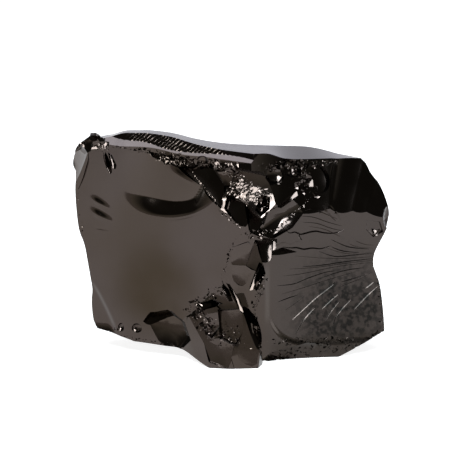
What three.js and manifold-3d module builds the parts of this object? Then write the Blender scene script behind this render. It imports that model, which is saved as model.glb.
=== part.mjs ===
// A hand-sized specimen of noble shungite: one solid piece of black, glassy carbon rock.
// It broke along curved (conchoidal) surfaces, so the solid is a block from which every break is cut:
// broad sheets for the faces, hollow flakes for single blows, and small chips for the crushed strips.
// Millimetres, +Z up, the front towards -Y, the origin under the middle of the stone on its resting face.
import * as THREE from "three";
import { ConvexGeometry } from "three/addons/geometries/ConvexGeometry.js";
import { mergeVertices } from "three/addons/utils/BufferGeometryUtils.js";
import Module from "manifold-3d";

// Driving dimensions
const WIDTH = 75; // left edge to right edge
const DEPTH = 42.4; // front of the foot to the back
const HEIGHT = 52; // resting face to the top of the left horn
const SHEET_STEP = 2.8; // spacing of the points on a broad sheet
const FINE_STEP = 2.2; // the same on the left face and the riser, which carry smaller forms
const SPOKES = 12; // points round each ring of a flake
const RIM_WALL = 1.6; // how high the steep wall round a flake climbs
const MARGIN = 6; // how far the raw block stands proud of the stone
const FINEST = 0.05; // the smallest form that the solid keeps
const REST = 0.3; // how much of the lowest break the flat resting face takes off
const FAR = 60; // a lid well outside the block

const wasm = await Module();
wasm.setup();

// ---- small mathematics ----

const clamp01 = (t) => Math.min(1, Math.max(0, t));
const smooth = (a, b, x) => {
  const t = clamp01((x - a) / (b - a));
  return t * t * (3 - 2 * t);
};
const mix = (a, b, t) => a + (b - a) * t;

// A smooth curve through [x, y] points in rising x, level beyond its ends.
function through(points) {
  const slope = points.map((_, i) => {
    const a = points[Math.max(0, i - 1)];
    const b = points[Math.min(points.length - 1, i + 1)];
    return (b[1] - a[1]) / (b[0] - a[0]);
  });
  return (x) => {
    const last = points.length - 1;
    if (x <= points[0][0]) return points[0][1];
    if (x >= points[last][0]) return points[last][1];
    const i = points.findIndex((p) => p[0] > x) - 1;
    const [x0, y0] = points[i];
    const [x1, y1] = points[i + 1];
    const w = x1 - x0;
    const t = (x - x0) / w;
    const s = 1 - t;
    return (
      (1 + 2 * t) * s * s * y0 + t * s * s * w * slope[i] +
      t * t * (3 - 2 * t) * y1 - t * t * s * w * slope[i + 1]
    );
  };
}

// ---- the broad surfaces, each one coordinate as a function of the other two ----

// The left and right ridges as seen from the front: x at each height z.
const leftRidge = through([
  [0, -29.5], [4.8, -30.9], [7, -32.2], [12, -32.7], [15, -32.5], [21.9, -33.5], [26.2, -34.3],
  [29.1, -35.4], [33.4, -36], [38.6, -36.3], [43.9, -36.3], [45, -37.3], [47.2, -37.2],
  [49.1, -36.1], [50.5, -35.1], [52, -32.6],
]);
const rightRidge = through([
  [0, 34.2], [4.1, 35.7], [5.2, 36.4], [8.8, 36.3], [14.5, 35.7], [17.4, 35.2], [20.3, 34.2],
  [21.7, 33.7], [24.6, 33.8], [27.4, 35], [30.3, 36.5], [33.2, 37.4], [34.6, 37.4],
  [38.2, 36.4], [41.3, 34.9], [43.2, 33.3], [46.2, 31.7], [48, 29],
]);

// The front left face: a wide shallow hollow with an older flake scar at its top, two smaller ones at its
// left edge and a low fold near its foot.
const FRONT_RIDGE = -17; // y of the left face where it meets the spine
const scarTop = through([
  [-26, 40.8], [-20.1, 38.7], [-13.8, 37.8], [-10.6, 38], [-7.9, 39], [-5.3, 43.6], [-3, 48],
]);
const scarFoot = through([
  [-27, 39.2], [-24.3, 37.2], [-19, 34.4], [-12.7, 34.4], [-7.5, 36.1], [-3, 39.4], [0, 42],
]);
const foldLine = through([[4, -25.4], [9.3, -27.4], [12.7, -29.1], [19.7, -33.1]]);
const bulge = (x, z, middleX, middleZ, halfX, halfZ, fall) =>
  Math.exp(-(((x - middleX) / halfX) ** 2) - ((z - middleZ + fall * (x - middleX)) / halfZ) ** 2);
function leftFace(x, z) {
  const plane = FRONT_RIDGE - 0.49 * x + 0.03 * (z - 25);
  const hollow = 1.1 * Math.exp(-(((x + 18) / 15) ** 2) - ((z - 20) / 15) ** 2);
  const climb = clamp01((z - scarFoot(x)) / (scarTop(x) - scarFoot(x)));
  const size = 2.2 * smooth(-26, -15, x) + 0.6 * smooth(-12, -5, x);
  const scar = size * climb ** 1.6 * (1.6 - 0.6 * climb);
  const bars = 0.5 * bulge(x, z, -31.2, 36.6, 2.4, 1, 0.5) + 0.75 * bulge(x, z, -31, 33.4, 3, 1.2, 0.42);
  const left = Math.max(0, foldLine(z) - x);
  const fold = 1.2 * smooth(0, 2, left) * smooth(2.5, 7, z) * smooth(20, 14, z);
  return plane + hollow + scar - bars + fold;
}

// The front right face: a hollow scar with a curved rim on the left.
function rightFace(x, z) {
  const plane = -20.2 + 0.4 * x + 0.02 * (z - 25);
  const hollow = 1.3 * Math.exp(-(((x - 24) / 13) ** 2) - ((z - 18) / 14) ** 2);
  const rim = Math.hypot((x - 27) / 19.5, (z - 24) / 20.5);
  const turned = 3.2 * smooth(0.94, 1.45, rim) * smooth(26, 14, z);
  return plane + hollow + turned;
}

// The hollow flutes of the dark upper right facet, side by side: [middle x, fan, half width, height].
// The fan is how far a flute leans to the right as it rises.
const flutes = [[19, 0.05, 5.6, 0], [25.4, 0.28, 3.6, 0], [29.8, 0.36, 3.4, -0.5], [36, 0.3, 5.5, -0.2]];
function upperRight(x, z) {
  const lean = -13.1 + 0.36 * (x - 20) + 0.18 * Math.max(0, x - 23) + 0.68 * (z - 35);
  const hollow = ([middle, fan, half, height]) =>
    1.3 + height - 1.1 * ((x - middle - fan * (z - 35)) / half) ** 2 - 0.12 * Math.max(0, 38 - z);
  return lean + Math.max(-20, ...flutes.map(hollow));
}

const frontY = (x, z) => Math.max(leftFace(x, z), rightFace(x, z), upperRight(x, z));
const onFront = (x, z, below) => [x, frontY(x, z) + below, z];

// The top: the rear surface, which ends in a ribbed riser, and the lower ledge in front of it.
const riserFoot = through([
  [-40, 12], [-34, 6], [-31, 2.4], [-28, -0.8], [-24, -3.1], [-20.7, -4.1], [-17.6, -4.9], [-14.9, -5.7],
  [-11, -6.6], [-4.3, -8.6], [0.9, -10.4], [5.2, -12.4], [8, -14.6], [11, -17.6], [13.4, -21.5],
]);
const rearTopProfile = through([
  [-38, 48], [-31, 51], [-28, 51.6], [-24.8, 52.5], [-22, 52.6], [-19, 52.6], [-13.5, 51.9],
  [-8, 50.5], [-2, 49.5], [5, 49], [16, 48.7], [19, 48.5], [23, 47.7], [26, 46.9], [31, 46], [38, 45],
]);
const topLean = through([
  [-12, 0.055], [5, 0.04], [9, 0.03], [13, -0.05], [18, -0.085], [21, -0.06], [24, -0.007], [27, 0.042],
  [33, 0.13],
]);
function rearTop(x, y) {
  const behind = 0.28 * Math.max(0, y - 10) + 0.02 * Math.max(0, y - 10) ** 2;
  const horn = 4 * smooth(-1, -4, y - riserFoot(x)) * smooth(-27, -30, x);
  return rearTopProfile(x) + topLean(x) * (10 - y) - behind + horn;
}
const ledgeProfile = through([
  [-38, 52.2], [-33, 52.3], [-31, 52.1], [-29.8, 51.5], [-28.9, 50.6], [-27.6, 50.35], [-25.5, 50.4],
  [-23.6, 50.4], [-21.1, 50.1], [-18.7, 49.7], [-15.9, 49.1], [-12.8, 48.5], [-9.1, 48], [-4.3, 47.6],
  [0.9, 47.2], [5.2, 46.9], [7.6, 46.9], [10.4, 47.6], [13, 49],
]);
const LEDGE_WIDTH = 5.6; // how far the ledge climbs backwards before it levels out
function ledge(x, y) {
  const past = y - (FRONT_RIDGE + 0.8 - 0.49 * x);
  return ledgeProfile(x) + 0.42 * Math.min(past, LEDGE_WIDTH) - 0.3 * Math.max(0, past - LEDGE_WIDTH);
}
const riser = (x, z) => riserFoot(x) + 1.25 * (z - 50.4) + 0.1 * Math.sin(1.9 * (x - 1.4 * z));

// The underside: a flat resting face that turns up in scars towards each edge.
const underFront = through([
  [-38, 6.8], [-32, 5.7], [-30.5, 4.6], [-17.7, 3.3], [-10.5, 2.8], [-7.6, 1.6], [-5, 0.5], [-2.5, 0],
  [6, 0], [7.6, 0.7], [9.5, 0.1], [14, 0], [20, 0.2], [26, 0.8], [28, 1.9], [29.5, 2.8], [32, 3.8],
  [35, 5], [38, 6.5],
]);
function underside(x, y) {
  const front = underFront(x) * smooth(6, -12, y - 0.35 * Math.abs(x));
  const left = 0.22 * Math.max(0, -10 - x);
  const right = 0.5 * Math.max(0, x - 25);
  const back = 0.35 * Math.max(0, y - 10);
  return Math.max(front, left, right, back, 0);
}

// The hidden sides and the back taper away behind the ridges.
const hump = (a, b, x) => Math.sin(Math.PI * clamp01((x - a) / (b - a)));
const leftSide = (y, z) => leftRidge(z) + 0.3 * Math.max(0, y - 4) + 1.1 * hump(4, 21, y) * smooth(0, 12, z);
const rightSide = (y, z) => rightRidge(z) - 0.3 * Math.max(0, y - 4) - 1.3 * hump(4, 20, y);
function back(x, z) {
  const left = 21 + 0.36 * (x + 6) - 1.2 * hump(-36, -6, x);
  const right = 21 - 0.32 * (x + 6) - 1.4 * hump(-6, 32, x) - 0.05 * (z - 24);
  return Math.min(left, right);
}

// ---- cutting tools ----

function solid(vertices, triangles) {
  const vertProperties = new Float32Array(vertices);
  const make = (corners) =>
    new wasm.Manifold(new wasm.Mesh({ numProp: 3, vertProperties, triVerts: new Uint32Array(corners) }));
  const made = make(triangles);
  if (made.volume() > 0) return made;
  const turned = [];
  for (let i = 0; i < triangles.length; i += 3) turned.push(triangles[i], triangles[i + 2], triangles[i + 1]);
  return make(turned);
}

// The solid between a height field over u, v and a flat lid at the height "beyond".
function sheet({ u: [u0, u1], v: [v0, v1], step, place, height, beyond }) {
  const nu = Math.max(2, Math.round((u1 - u0) / step)) + 1;
  const nv = Math.max(2, Math.round((v1 - v0) / step)) + 1;
  const vertices = [];
  for (const lid of [false, true])
    for (let j = 0; j < nv; j++)
      for (let i = 0; i < nu; i++) {
        const u = mix(u0, u1, i / (nu - 1));
        const v = mix(v0, v1, j / (nv - 1));
        vertices.push(...place(u, v, lid ? beyond : height(u, v)));
      }
  const at = (i, j, lid) => lid * nu * nv + j * nu + i;
  const triangles = [];
  const quad = (a, b, c, d) => triangles.push(a, b, c, a, c, d);
  for (let j = 0; j < nv - 1; j++)
    for (let i = 0; i < nu - 1; i++) {
      quad(at(i, j, 0), at(i, j + 1, 0), at(i + 1, j + 1, 0), at(i + 1, j, 0));
      quad(at(i, j, 1), at(i + 1, j, 1), at(i + 1, j + 1, 1), at(i, j + 1, 1));
    }
  for (let i = 0; i < nu - 1; i++) {
    quad(at(i, 0, 0), at(i + 1, 0, 0), at(i + 1, 0, 1), at(i, 0, 1));
    quad(at(i + 1, nv - 1, 0), at(i, nv - 1, 0), at(i, nv - 1, 1), at(i + 1, nv - 1, 1));
  }
  for (let j = 0; j < nv - 1; j++) {
    quad(at(0, j + 1, 0), at(0, j, 0), at(0, j, 1), at(0, j + 1, 1));
    quad(at(nu - 1, j, 0), at(nu - 1, j + 1, 0), at(nu - 1, j + 1, 1), at(nu - 1, j, 1));
  }
  return solid(vertices, triangles);
}

// A direction from a turn to the right of the front and a tilt upwards, in degrees.
function facing(turn, tilt) {
  const t = THREE.MathUtils.degToRad(turn);
  const e = THREE.MathUtils.degToRad(tilt);
  return new THREE.Vector3(Math.sin(t) * Math.cos(e), -Math.cos(t) * Math.cos(e), Math.sin(e));
}

// One blow: a hollow "deep" under its rim, an ellipse "across" by "along", with a steep wall round it.
function flake({ at, turn, tilt, roll = 0, across, along, deep, reach = 9 }) {
  const out = facing(turn, tilt);
  const level = new THREE.Vector3().crossVectors(new THREE.Vector3(0, 0, 1), out).normalize();
  const right = level.clone().applyAxisAngle(out, THREE.MathUtils.degToRad(roll));
  const up = new THREE.Vector3().crossVectors(out, right);
  const middle = new THREE.Vector3(...at);
  const vertices = [];
  const put = (r, angle, h) => {
    const u = across * r * Math.cos(angle);
    const v = along * r * Math.sin(angle);
    vertices.push(...middle.clone().addScaledVector(right, u).addScaledVector(up, v).addScaledVector(out, h));
  };
  const rings = [
    [0.4, -0.84 * deep],
    [0.75, -0.44 * deep],
    [1, 0],
    [1.2, RIM_WALL + 0.4 * deep],
    [1.2, reach],
  ];
  put(0, 0, -deep);
  for (const [r, h] of rings) for (let k = 0; k < SPOKES; k++) put(r, (2 * Math.PI * k) / SPOKES, h);
  put(0, 0, reach);
  const ring = (n, k) => 1 + n * SPOKES + (k % SPOKES);
  const last = rings.length - 1;
  const triangles = [];
  for (let k = 0; k < SPOKES; k++) {
    triangles.push(0, ring(0, k + 1), ring(0, k));
    for (let n = 0; n < last; n++) {
      triangles.push(ring(n, k), ring(n, k + 1), ring(n + 1, k + 1));
      triangles.push(ring(n, k), ring(n + 1, k + 1), ring(n + 1, k));
    }
    triangles.push(ring(last, k), ring(last, k + 1), 1 + rings.length * SPOKES);
  }
  return solid(vertices, triangles);
}

// A facet: a blow with a cornered outline, given as places [x, z] on the front. It lies "below" the front
// face, or at the depth "y", turned and tilted as asked, a little hollow, with a wall that leans outwards.
function facet({ corners, turn, tilt, hollow, below, y }) {
  const count = corners.length;
  const middle = [0, 1].map((k) => corners.reduce((sum, corner) => sum + corner[k], 0) / count);
  const slopeX = Math.tan(THREE.MathUtils.degToRad(turn));
  const slopeZ = Math.tan(THREE.MathUtils.degToRad(tilt)) / Math.cos(THREE.MathUtils.degToRad(turn));
  const start = y ?? frontY(...middle) + below;
  const vertices = [middle[0], start + hollow, middle[1]];
  for (const [r, drop, lid] of [[1, 0, false], [1.22, 1.5, false], [1.22, 0, true]])
    for (const corner of corners) {
      const [u, v] = [0, 1].map((k) => r * (corner[k] - middle[k]));
      vertices.push(middle[0] + u, lid ? -FAR : start + slopeX * u + slopeZ * v - drop, middle[1] + v);
    }
  vertices.push(middle[0], -FAR, middle[1]);
  const ring = (n, k) => 1 + n * count + (k % count);
  const triangles = [];
  for (let k = 0; k < count; k++) {
    triangles.push(0, ring(0, k + 1), ring(0, k));
    for (const n of [0, 1]) {
      triangles.push(ring(n, k), ring(n, k + 1), ring(n + 1, k + 1));
      triangles.push(ring(n, k), ring(n + 1, k + 1), ring(n + 1, k));
    }
    triangles.push(ring(2, k), ring(2, k + 1), 1 + 3 * count);
  }
  return solid(vertices, triangles);
}

// Random numbers from 0 to 1, the same on every run.
function dice(seed) {
  let state = seed;
  return () => {
    state = (state * 1664525 + 1013904223) % 4294967296;
    return state / 4294967296;
  };
}

function fromGeometry(geometry) {
  geometry.deleteAttribute("normal");
  geometry.deleteAttribute("uv");
  const merged = mergeVertices(geometry, 1e-4);
  const index = merged.index ?? mergeVertices(merged).index;
  return solid([...merged.attributes.position.array], [...index.array]);
}

// ---- the broad cuts ----

const alongX = [-WIDTH / 2 - MARGIN - 1, WIDTH / 2 + MARGIN + 1];
const alongY = [-DEPTH / 2 - MARGIN - 1, DEPTH / 2 + MARGIN + 1];
const alongZ = [-MARGIN - 1, HEIGHT + MARGIN + 1];
const frontOrBack = (x, z, y) => [x, y, z];
const topOrUnder = (x, y, z) => [x, y, z];
const side = (y, z, x) => [x, y, z];

const front = (height, step = SHEET_STEP) =>
  sheet({ u: alongX, v: alongZ, step, place: frontOrBack, height, beyond: -FAR });
const top = (height) =>
  sheet({ u: alongX, v: alongY, step: SHEET_STEP, place: topOrUnder, height, beyond: 2 * FAR });

const raw = new THREE.BoxGeometry(WIDTH + 2 * MARGIN, DEPTH + 2 * MARGIN, HEIGHT + 2 * MARGIN);
raw.translate(0, 0, HEIGHT / 2);

let stone = fromGeometry(raw);
const broad = [
  front(leftFace, FINE_STEP),
  front(rightFace),
  front(upperRight),
  top(rearTop),
  top(ledge).intersect(front(riser, FINE_STEP)),
  sheet({ u: alongY, v: alongZ, step: SHEET_STEP, place: side, height: leftSide, beyond: -2 * FAR }),
  sheet({ u: alongY, v: alongZ, step: SHEET_STEP, place: side, height: rightSide, beyond: 2 * FAR }),
  sheet({ u: alongX, v: alongZ, step: SHEET_STEP, place: frontOrBack, height: back, beyond: FAR }),
];
for (const cut of broad) stone = stone.subtract(cut);

// ---- the spur at the foot of the spine ----

const spurCorners = [
  [-11.4, -11.4, -3], [-11.2, -11.8, 9.5], [-9.6, -13.4, 11.6], [-5, -16.2, 15.6], [-2.4, -17, 19],
  [-4.9, -20.4, -3], [-4.6, -19.9, 4], [0, -21.2, -3], [0.4, -20.9, 5], [6.2, -21, -3], [7, -19.8, 4.2],
  [4.7, -18.6, 13], [3.4, -17.6, 17.5], [8.4, -15, -3], [7.6, -13.6, 4], [3, -9, 18], [-2, -6, -3],
].map((corner) => new THREE.Vector3(...corner));
stone = stone.add(fromGeometry(new ConvexGeometry(spurCorners)));

const under = (height, step) =>
  sheet({ u: alongX, v: alongY, step, place: topOrUnder, height, beyond: -FAR });
stone = stone.subtract(under(underside, SHEET_STEP)).subtract(under(() => REST, FAR));

// ---- single blows ----

const onBack = (x, z) => [x, back(x, z), z];
const onLeft = (y, z) => [leftSide(y, z), y, z];
const onRight = (y, z) => [rightSide(y, z), y, z];
const blows = [
  // the rounded dip where the ledge ends
  { at: [9.6, -15, 48.6], turn: 6, tilt: 64, across: 4.4, along: 4.6, deep: 0.7 },
  // hollows in the broken corner
  { at: onFront(6.6, 45.6, 2.2), turn: 26, tilt: 30, across: 2.1, along: 1.9, deep: 0.5 },
  { at: onFront(13.6, 44.9, 2.2), turn: 22, tilt: 34, across: 2.3, along: 2, deep: 0.7 },
  { at: onFront(20, 42.8, 0.9), turn: 24, tilt: 30, across: 2.6, along: 3.6, deep: 0.4 },
  // the notch between the foot and the right face
  { at: [6.6, -17.6, 8.4], turn: 40, tilt: 6, roll: 14, across: 1, along: 6.4, deep: 2 },
  // the lower edge of the left face
  { at: onFront(-21.7, 6.4, 0.2), turn: -24, tilt: 20, across: 1.5, along: 1.7, deep: 1 },
  { at: onFront(-26.2, 5.9, 0.2), turn: -24, tilt: 16, across: 1.4, along: 1.3, deep: 0.8 },
  // the crack at the top left
  { at: onFront(-28.6, 46.4, 0.1), turn: 24, tilt: 8, roll: 12, across: 0.5, along: 2.8, deep: 1 },
  // the right edge
  { at: [36.6, -4, 33.4], turn: 70, tilt: 2, across: 2.2, along: 2.6, deep: 0.6 },
  { at: onFront(22, 2.4, 0.4), turn: 8, tilt: -26, across: 13, along: 2.6, deep: 0.6 },
  // the left side
  { at: onLeft(9, 33), turn: -98, tilt: 8, across: 7, along: 11, deep: 1 },
  { at: onLeft(9, 13), turn: -100, tilt: -8, across: 7, along: 9, deep: 1 },
  { at: onLeft(11, 44), turn: -112, tilt: 22, across: 5, along: 5, deep: 0.9 },
  // the back
  { at: onBack(-21, 36), turn: -164, tilt: 10, across: 12, along: 12, deep: 1.2 },
  { at: onBack(-23, 13), turn: -162, tilt: -12, across: 12, along: 10, deep: 1.1 },
  { at: onBack(5, 35), turn: 168, tilt: 12, across: 11, along: 12, deep: 1.3 },
  { at: onBack(8, 11), turn: 166, tilt: -10, across: 13, along: 9, deep: 1.1 },
  { at: onBack(24, 27), turn: 154, tilt: 4, across: 9, along: 14, deep: 1.1 },
  { at: onBack(-7, 23), turn: 178, tilt: -2, across: 4, along: 6, deep: 1 },
  // the right side
  { at: onRight(3, 20), turn: 102, tilt: -4, across: 8, along: 10, deep: 1 },
  { at: onRight(4, 38), turn: 106, tilt: 12, across: 8, along: 7, deep: 1 },
  { at: onRight(9, 7), turn: 116, tilt: -20, across: 6, along: 6, deep: 0.9 },
  // the underside
  { at: [-22, 0, 3], turn: -90, tilt: -76, across: 9, along: 11, deep: 0.7 },
  { at: [29, 2, 2.2], turn: 90, tilt: -66, across: 8, along: 6, deep: 0.7 },
  { at: [-2, 17, 2.2], turn: 180, tilt: -70, across: 12, along: 5, deep: 0.6 },
];

// The cornered facets of the V-shaped break, the top left corner, the neck and the foot.
const facets = [
  // the V, from the left line to the right one
  {
    corners: [[-10.6, 45.5], [-4.1, 46.5], [-1.1, 42.4], [-1.8, 37.5]],
    below: 1.6, turn: -22, tilt: 29, hollow: 0.3,
  },
  {
    corners: [[-4.1, 46.2], [1.2, 46.4], [0.3, 42.4], [-1.8, 42.2]],
    below: 2.4, turn: -12, tilt: 6, hollow: 0.3,
  },
  {
    corners: [
      [-1.3, 42.8], [1.4, 46.1], [7.3, 45], [12.4, 43], [14.3, 40.6],
      [11.7, 37.5], [7.3, 35], [3.9, 38.1], [0, 39.2],
    ],
    below: 2.2, turn: 2, tilt: 18, hollow: 0.5,
  },
  {
    corners: [[-2, 40.1], [-0.2, 40.3], [-0.4, 36.3], [-2.2, 37.1]],
    below: 1, turn: -3, tilt: 30, hollow: 0.3,
  },
  {
    corners: [[0.3, 39.8], [4.1, 38.2], [7.5, 34.9], [5.5, 32.4], [2.1, 33.8], [-0.4, 37.1]],
    below: 1.5, turn: -26, tilt: 30, hollow: 0.15,
  },
  {
    corners: [[4.1, 37.6], [7.3, 35.1], [9.6, 37], [9.1, 31.6], [7.3, 30.8], [5, 32.4]],
    below: 1.8, turn: 16, tilt: 28, hollow: 0.2,
  },
  {
    corners: [
      [11.6, 37.6], [15.2, 40.4], [17.8, 39.1], [17.2, 36],
      [14.4, 32.7], [10.3, 31.1], [7.8, 32.5], [9.1, 36.4],
    ],
    below: 1.6, turn: 2, tilt: 20, hollow: 0.8,
  },
  {
    corners: [[11, 37.7], [15.4, 40.6], [16.1, 39.9], [11.9, 36.9]],
    below: 1.5, turn: 0, tilt: 30, hollow: 0.1,
  },
  {
    corners: [[6.2, 37.3], [7.3, 40.1], [9.1, 39.7], [8.9, 37.4], [7.3, 36.1]],
    below: 2.9, turn: -3, tilt: 29, hollow: 0.5,
  },
  {
    corners: [[8.7, 45.8], [12.2, 45.2], [11.7, 42.6], [8.5, 43.3]],
    below: 2.6, turn: 8, tilt: 6, hollow: 0.2,
  },
  // the top left corner
  {
    corners: [
      [-34.4, 52.2], [-32.2, 52.5], [-29.6, 52.3], [-28.4, 51.5],
      [-30.3, 51.1], [-32.7, 51], [-34.4, 51],
    ],
    below: 0.7, turn: -14, tilt: 40, hollow: 0.1,
  },
  {
    corners: [
      [-37.4, 46.7], [-35.1, 49.1], [-33, 48.5], [-33.2, 46],
      [-34.2, 42.6], [-35.5, 39.1], [-37, 39], [-36.9, 44.3],
    ],
    below: 0.4, turn: -58, tilt: 17, hollow: 0.2,
  },
  {
    corners: [[-35.2, 50.4], [-33.7, 51.7], [-32.2, 50.9], [-32.5, 48.9], [-33.7, 48.1], [-34.9, 48.8]],
    below: 0.9, turn: -18, tilt: 28, hollow: 0.4,
  },
  {
    corners: [[-32.4, 51.4], [-30.8, 51.7], [-30, 50.6], [-30.8, 49.3], [-32.5, 49.2]],
    below: 0.5, turn: 8, tilt: -4, hollow: 0.5,
  },
  // the neck
  {
    corners: [[0.7, 28.4], [4.3, 29.8], [5.5, 28.6], [4.1, 23.9], [2.1, 23.4], [-0.7, 24]],
    below: 0.5, turn: -14, tilt: 3, hollow: 0.3,
  },
  {
    corners: [[5.9, 29.5], [7.8, 25.1], [6.4, 22.8], [3.9, 24.2]],
    below: 0.7, turn: 6, tilt: 10, hollow: 0.1,
  },
  {
    corners: [[6.4, 29.7], [9.8, 29], [9.6, 25.7], [8.9, 24.5], [7.5, 25.1]],
    below: 1.5, turn: 14, tilt: 32, hollow: 0.3,
  },
  {
    corners: [[8, 30.4], [10.7, 29.9], [10.8, 27.5], [9.6, 27.4], [9.4, 29.1], [7.5, 29.2]],
    below: 1.3, turn: -2, tilt: 32, hollow: 0.2,
  },
  {
    corners: [[-0.7, 24.3], [4.1, 24.2], [6.4, 22.8], [4.8, 18.7], [2.1, 19.8], [-1.3, 22]],
    below: 0.6, turn: -8, tilt: 8, hollow: 0.4,
  },
  {
    corners: [[7.5, 23.8], [8, 21.8], [5.7, 16.5], [5, 18.1], [6.4, 21.4]],
    below: 1.3, turn: 34, tilt: 24, hollow: 0.1,
  },
  {
    corners: [[6.6, 24.1], [7.3, 23.8], [6.4, 20.7], [5.1, 16.6], [4.1, 17.1], [5.3, 20.8]],
    below: 1.2, turn: -4, tilt: 30, hollow: 0.1,
  },
  {
    corners: [[-0.7, 19.4], [0.5, 18.9], [2.5, 15.6], [3.5, 12.9], [2.1, 13.2], [0.5, 16.5]],
    below: 0.9, turn: -4, tilt: 30, hollow: 0.1,
  },
  {
    corners: [[-1.3, 19.4], [-0.2, 18.3], [0.9, 15.7], [0, 15.7], [-1.1, 17.5]],
    below: 0.9, turn: -30, tilt: 34, hollow: 0.1,
  },
  // the foot
  {
    corners: [[-9.9, 11.7], [-7.3, 14], [-4.3, 15.5], [-2.3, 14.7], [-5.5, 13.4], [-7.6, 11.6], [-7.5, 8.7]],
    y: -14.4, turn: -28, tilt: 36, hollow: 0.2,
  },
  {
    corners: [[-6.1, 12.2], [-2.3, 13.3], [-2, 10.3], [-3.9, 7.7], [-6.2, 9.8]],
    y: -17.6, turn: -24, tilt: 3, hollow: 0.3,
  },
  {
    corners: [[-2, 13.2], [3.9, 13.9], [3.4, 9], [1.4, 6.3], [-1.6, 7.5]],
    y: -18.6, turn: -10, tilt: 19, hollow: 0.5,
  },
  {
    corners: [[-7.1, 9.3], [-3.8, 7], [-0.4, 7.5], [1.4, 6.4], [0.7, 2.7], [-0.4, 0.5], [-4.3, 2]],
    y: -19.7, turn: -18, tilt: 7, hollow: 0.3,
  },
  {
    corners: [[3.9, 11], [6.2, 7.6], [8, 3.1], [5.7, -0.3], [1.4, -0.2], [0.5, 2.9], [1.2, 5.7], [2.5, 6.8]],
    y: -20.2, turn: 6, tilt: 6, hollow: -0.5,
  },
  {
    corners: [[-4.3, 17.9], [-0.9, 19.2], [3, 14.6], [-1.3, 13.4], [-3.2, 15.2]],
    y: -17.3, turn: -16, tilt: 8, hollow: 0.2,
  },
  // the lower edge of the left face
  {
    corners: [[-20.3, 8.2], [-18.2, 10.6], [-14.4, 11.2], [-11.1, 9.2], [-9.9, 6], [-12.1, 3.1], [-17.3, 3]],
    below: 0.6, turn: -14, tilt: 12, hollow: 0.5,
  },
  {
    corners: [[-19.9, 8.5], [-18, 10.6], [-13.9, 11.3], [-11.6, 9.4], [-15.1, 8.5], [-18, 6.5]],
    below: 0.7, turn: -28, tilt: 34, hollow: 0.3,
  },
  // the right edge
  {
    corners: [[32, 33.1], [34.9, 32.4], [35.6, 30.2], [33.5, 29.1], [31.8, 30.9]],
    below: 0.5, turn: 28, tilt: -4, hollow: 0.3,
  },
  {
    corners: [[33.2, 30.8], [34.7, 30.4], [34.5, 29.2], [33.5, 29.3]],
    below: 0.8, turn: -3, tilt: 30, hollow: 0.1,
  },
  // a feathered chip beside the neck
  {
    corners: [[9.4, 27.1], [12.1, 27.8], [15.4, 26.6], [12.6, 26.4], [10.3, 25.6]],
    below: 0.3, turn: 25, tilt: 34, hollow: 0.1,
  },
];

// ---- rows of crushed chips ----

// Small angular bites at random places along a line on the surface, each with a radius near "size".
function chips({ from, to, spread, size, count, seed }) {
  const roll = dice(seed);
  const start = new THREE.Vector3(...from);
  const end = new THREE.Vector3(...to);
  const bites = [];
  for (let k = 0; k < count; k++) {
    const place = start.clone().lerp(end, (k + roll()) / count);
    place.x += spread * (roll() - 0.5);
    place.y += 0.5 * size * (roll() - 0.5);
    place.z += spread * (roll() - 0.5);
    const bite = new THREE.OctahedronGeometry(size * mix(0.6, 1.1, roll()), 0);
    bite.rotateX(6 * roll());
    bite.rotateZ(6 * roll());
    bites.push(fromGeometry(bite.translate(...place)));
  }
  return bites;
}

const rows = [
  // the front edge of the ledge
  { from: onFront(-21.5, 49.6, 0), to: onFront(-9, 48.8, 0), spread: 1, size: 0.8, count: 14, seed: 3 },
  { from: onFront(-9, 48.4, 0.3), to: onFront(3, 47, 2), spread: 2, size: 1.3, count: 12, seed: 5 },
  // the crushed middle of the broken corner
  { from: onFront(-1, 44.6, 2.2), to: onFront(8, 39.6, 2.4), spread: 4.5, size: 1.4, count: 18, seed: 7 },
  { from: onFront(11, 46.4, 2.6), to: onFront(18, 42, 1.6), spread: 2.8, size: 1.4, count: 9, seed: 11 },
  // both edges of the spine
  { from: onFront(-2.4, 37.2, 0.6), to: onFront(2, 33.2, 0.8), spread: 0.8, size: 0.7, count: 6, seed: 13 },
  { from: onFront(18.8, 39.4, 0.2), to: onFront(10.6, 31, 0.2), spread: 0.8, size: 0.8, count: 8, seed: 17 },
  { from: onFront(3.4, 32.2, 0.3), to: onFront(9, 31.4, 0.6), spread: 1.2, size: 0.9, count: 6, seed: 19 },
  { from: [-10, -13.6, 11.8], to: [-2.2, -17.6, 16.8], spread: 2.4, size: 1.1, count: 9, seed: 23 },
  { from: onFront(8.2, 21.4, 0.6), to: onFront(5.6, 15, 0.4), spread: 1, size: 0.8, count: 6, seed: 29 },
  // the lower edge under the right face
  { from: onFront(10, 1.4, 0), to: onFront(30, 4, 0), spread: 1.4, size: 0.9, count: 9, seed: 31 },
  // the rear edge of the top
  { from: [-24, 13.4, 51], to: [22, 11.8, 47.2], spread: 1.4, size: 0.9, count: 12, seed: 37 },
];

const cuts = [...blows.map(flake), ...facets.map(facet), ...rows.flatMap(chips)];
for (const cut of cuts) stone = stone.subtract(cut);
stone = stone.simplify(FINEST);
// A bite that never reached the surface leaves a closed hollow, and one that met another may leave a crumb.
[stone] = stone.decompose().sort((a, b) => b.volume() - a.volume());

// The whole stone is brought to its driving sizes and set down on its resting face.
const rough = stone.boundingBox();
const [wide, deep, high] = [0, 1, 2].map((k) => rough.max[k] - rough.min[k]);
stone = stone
  .translate([-(rough.min[0] + rough.max[0]) / 2, -(rough.min[1] + rough.max[1]) / 2, -rough.min[2]])
  .scale([WIDTH / wide, DEPTH / deep, HEIGHT / high]);

// ---- the part ----

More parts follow.
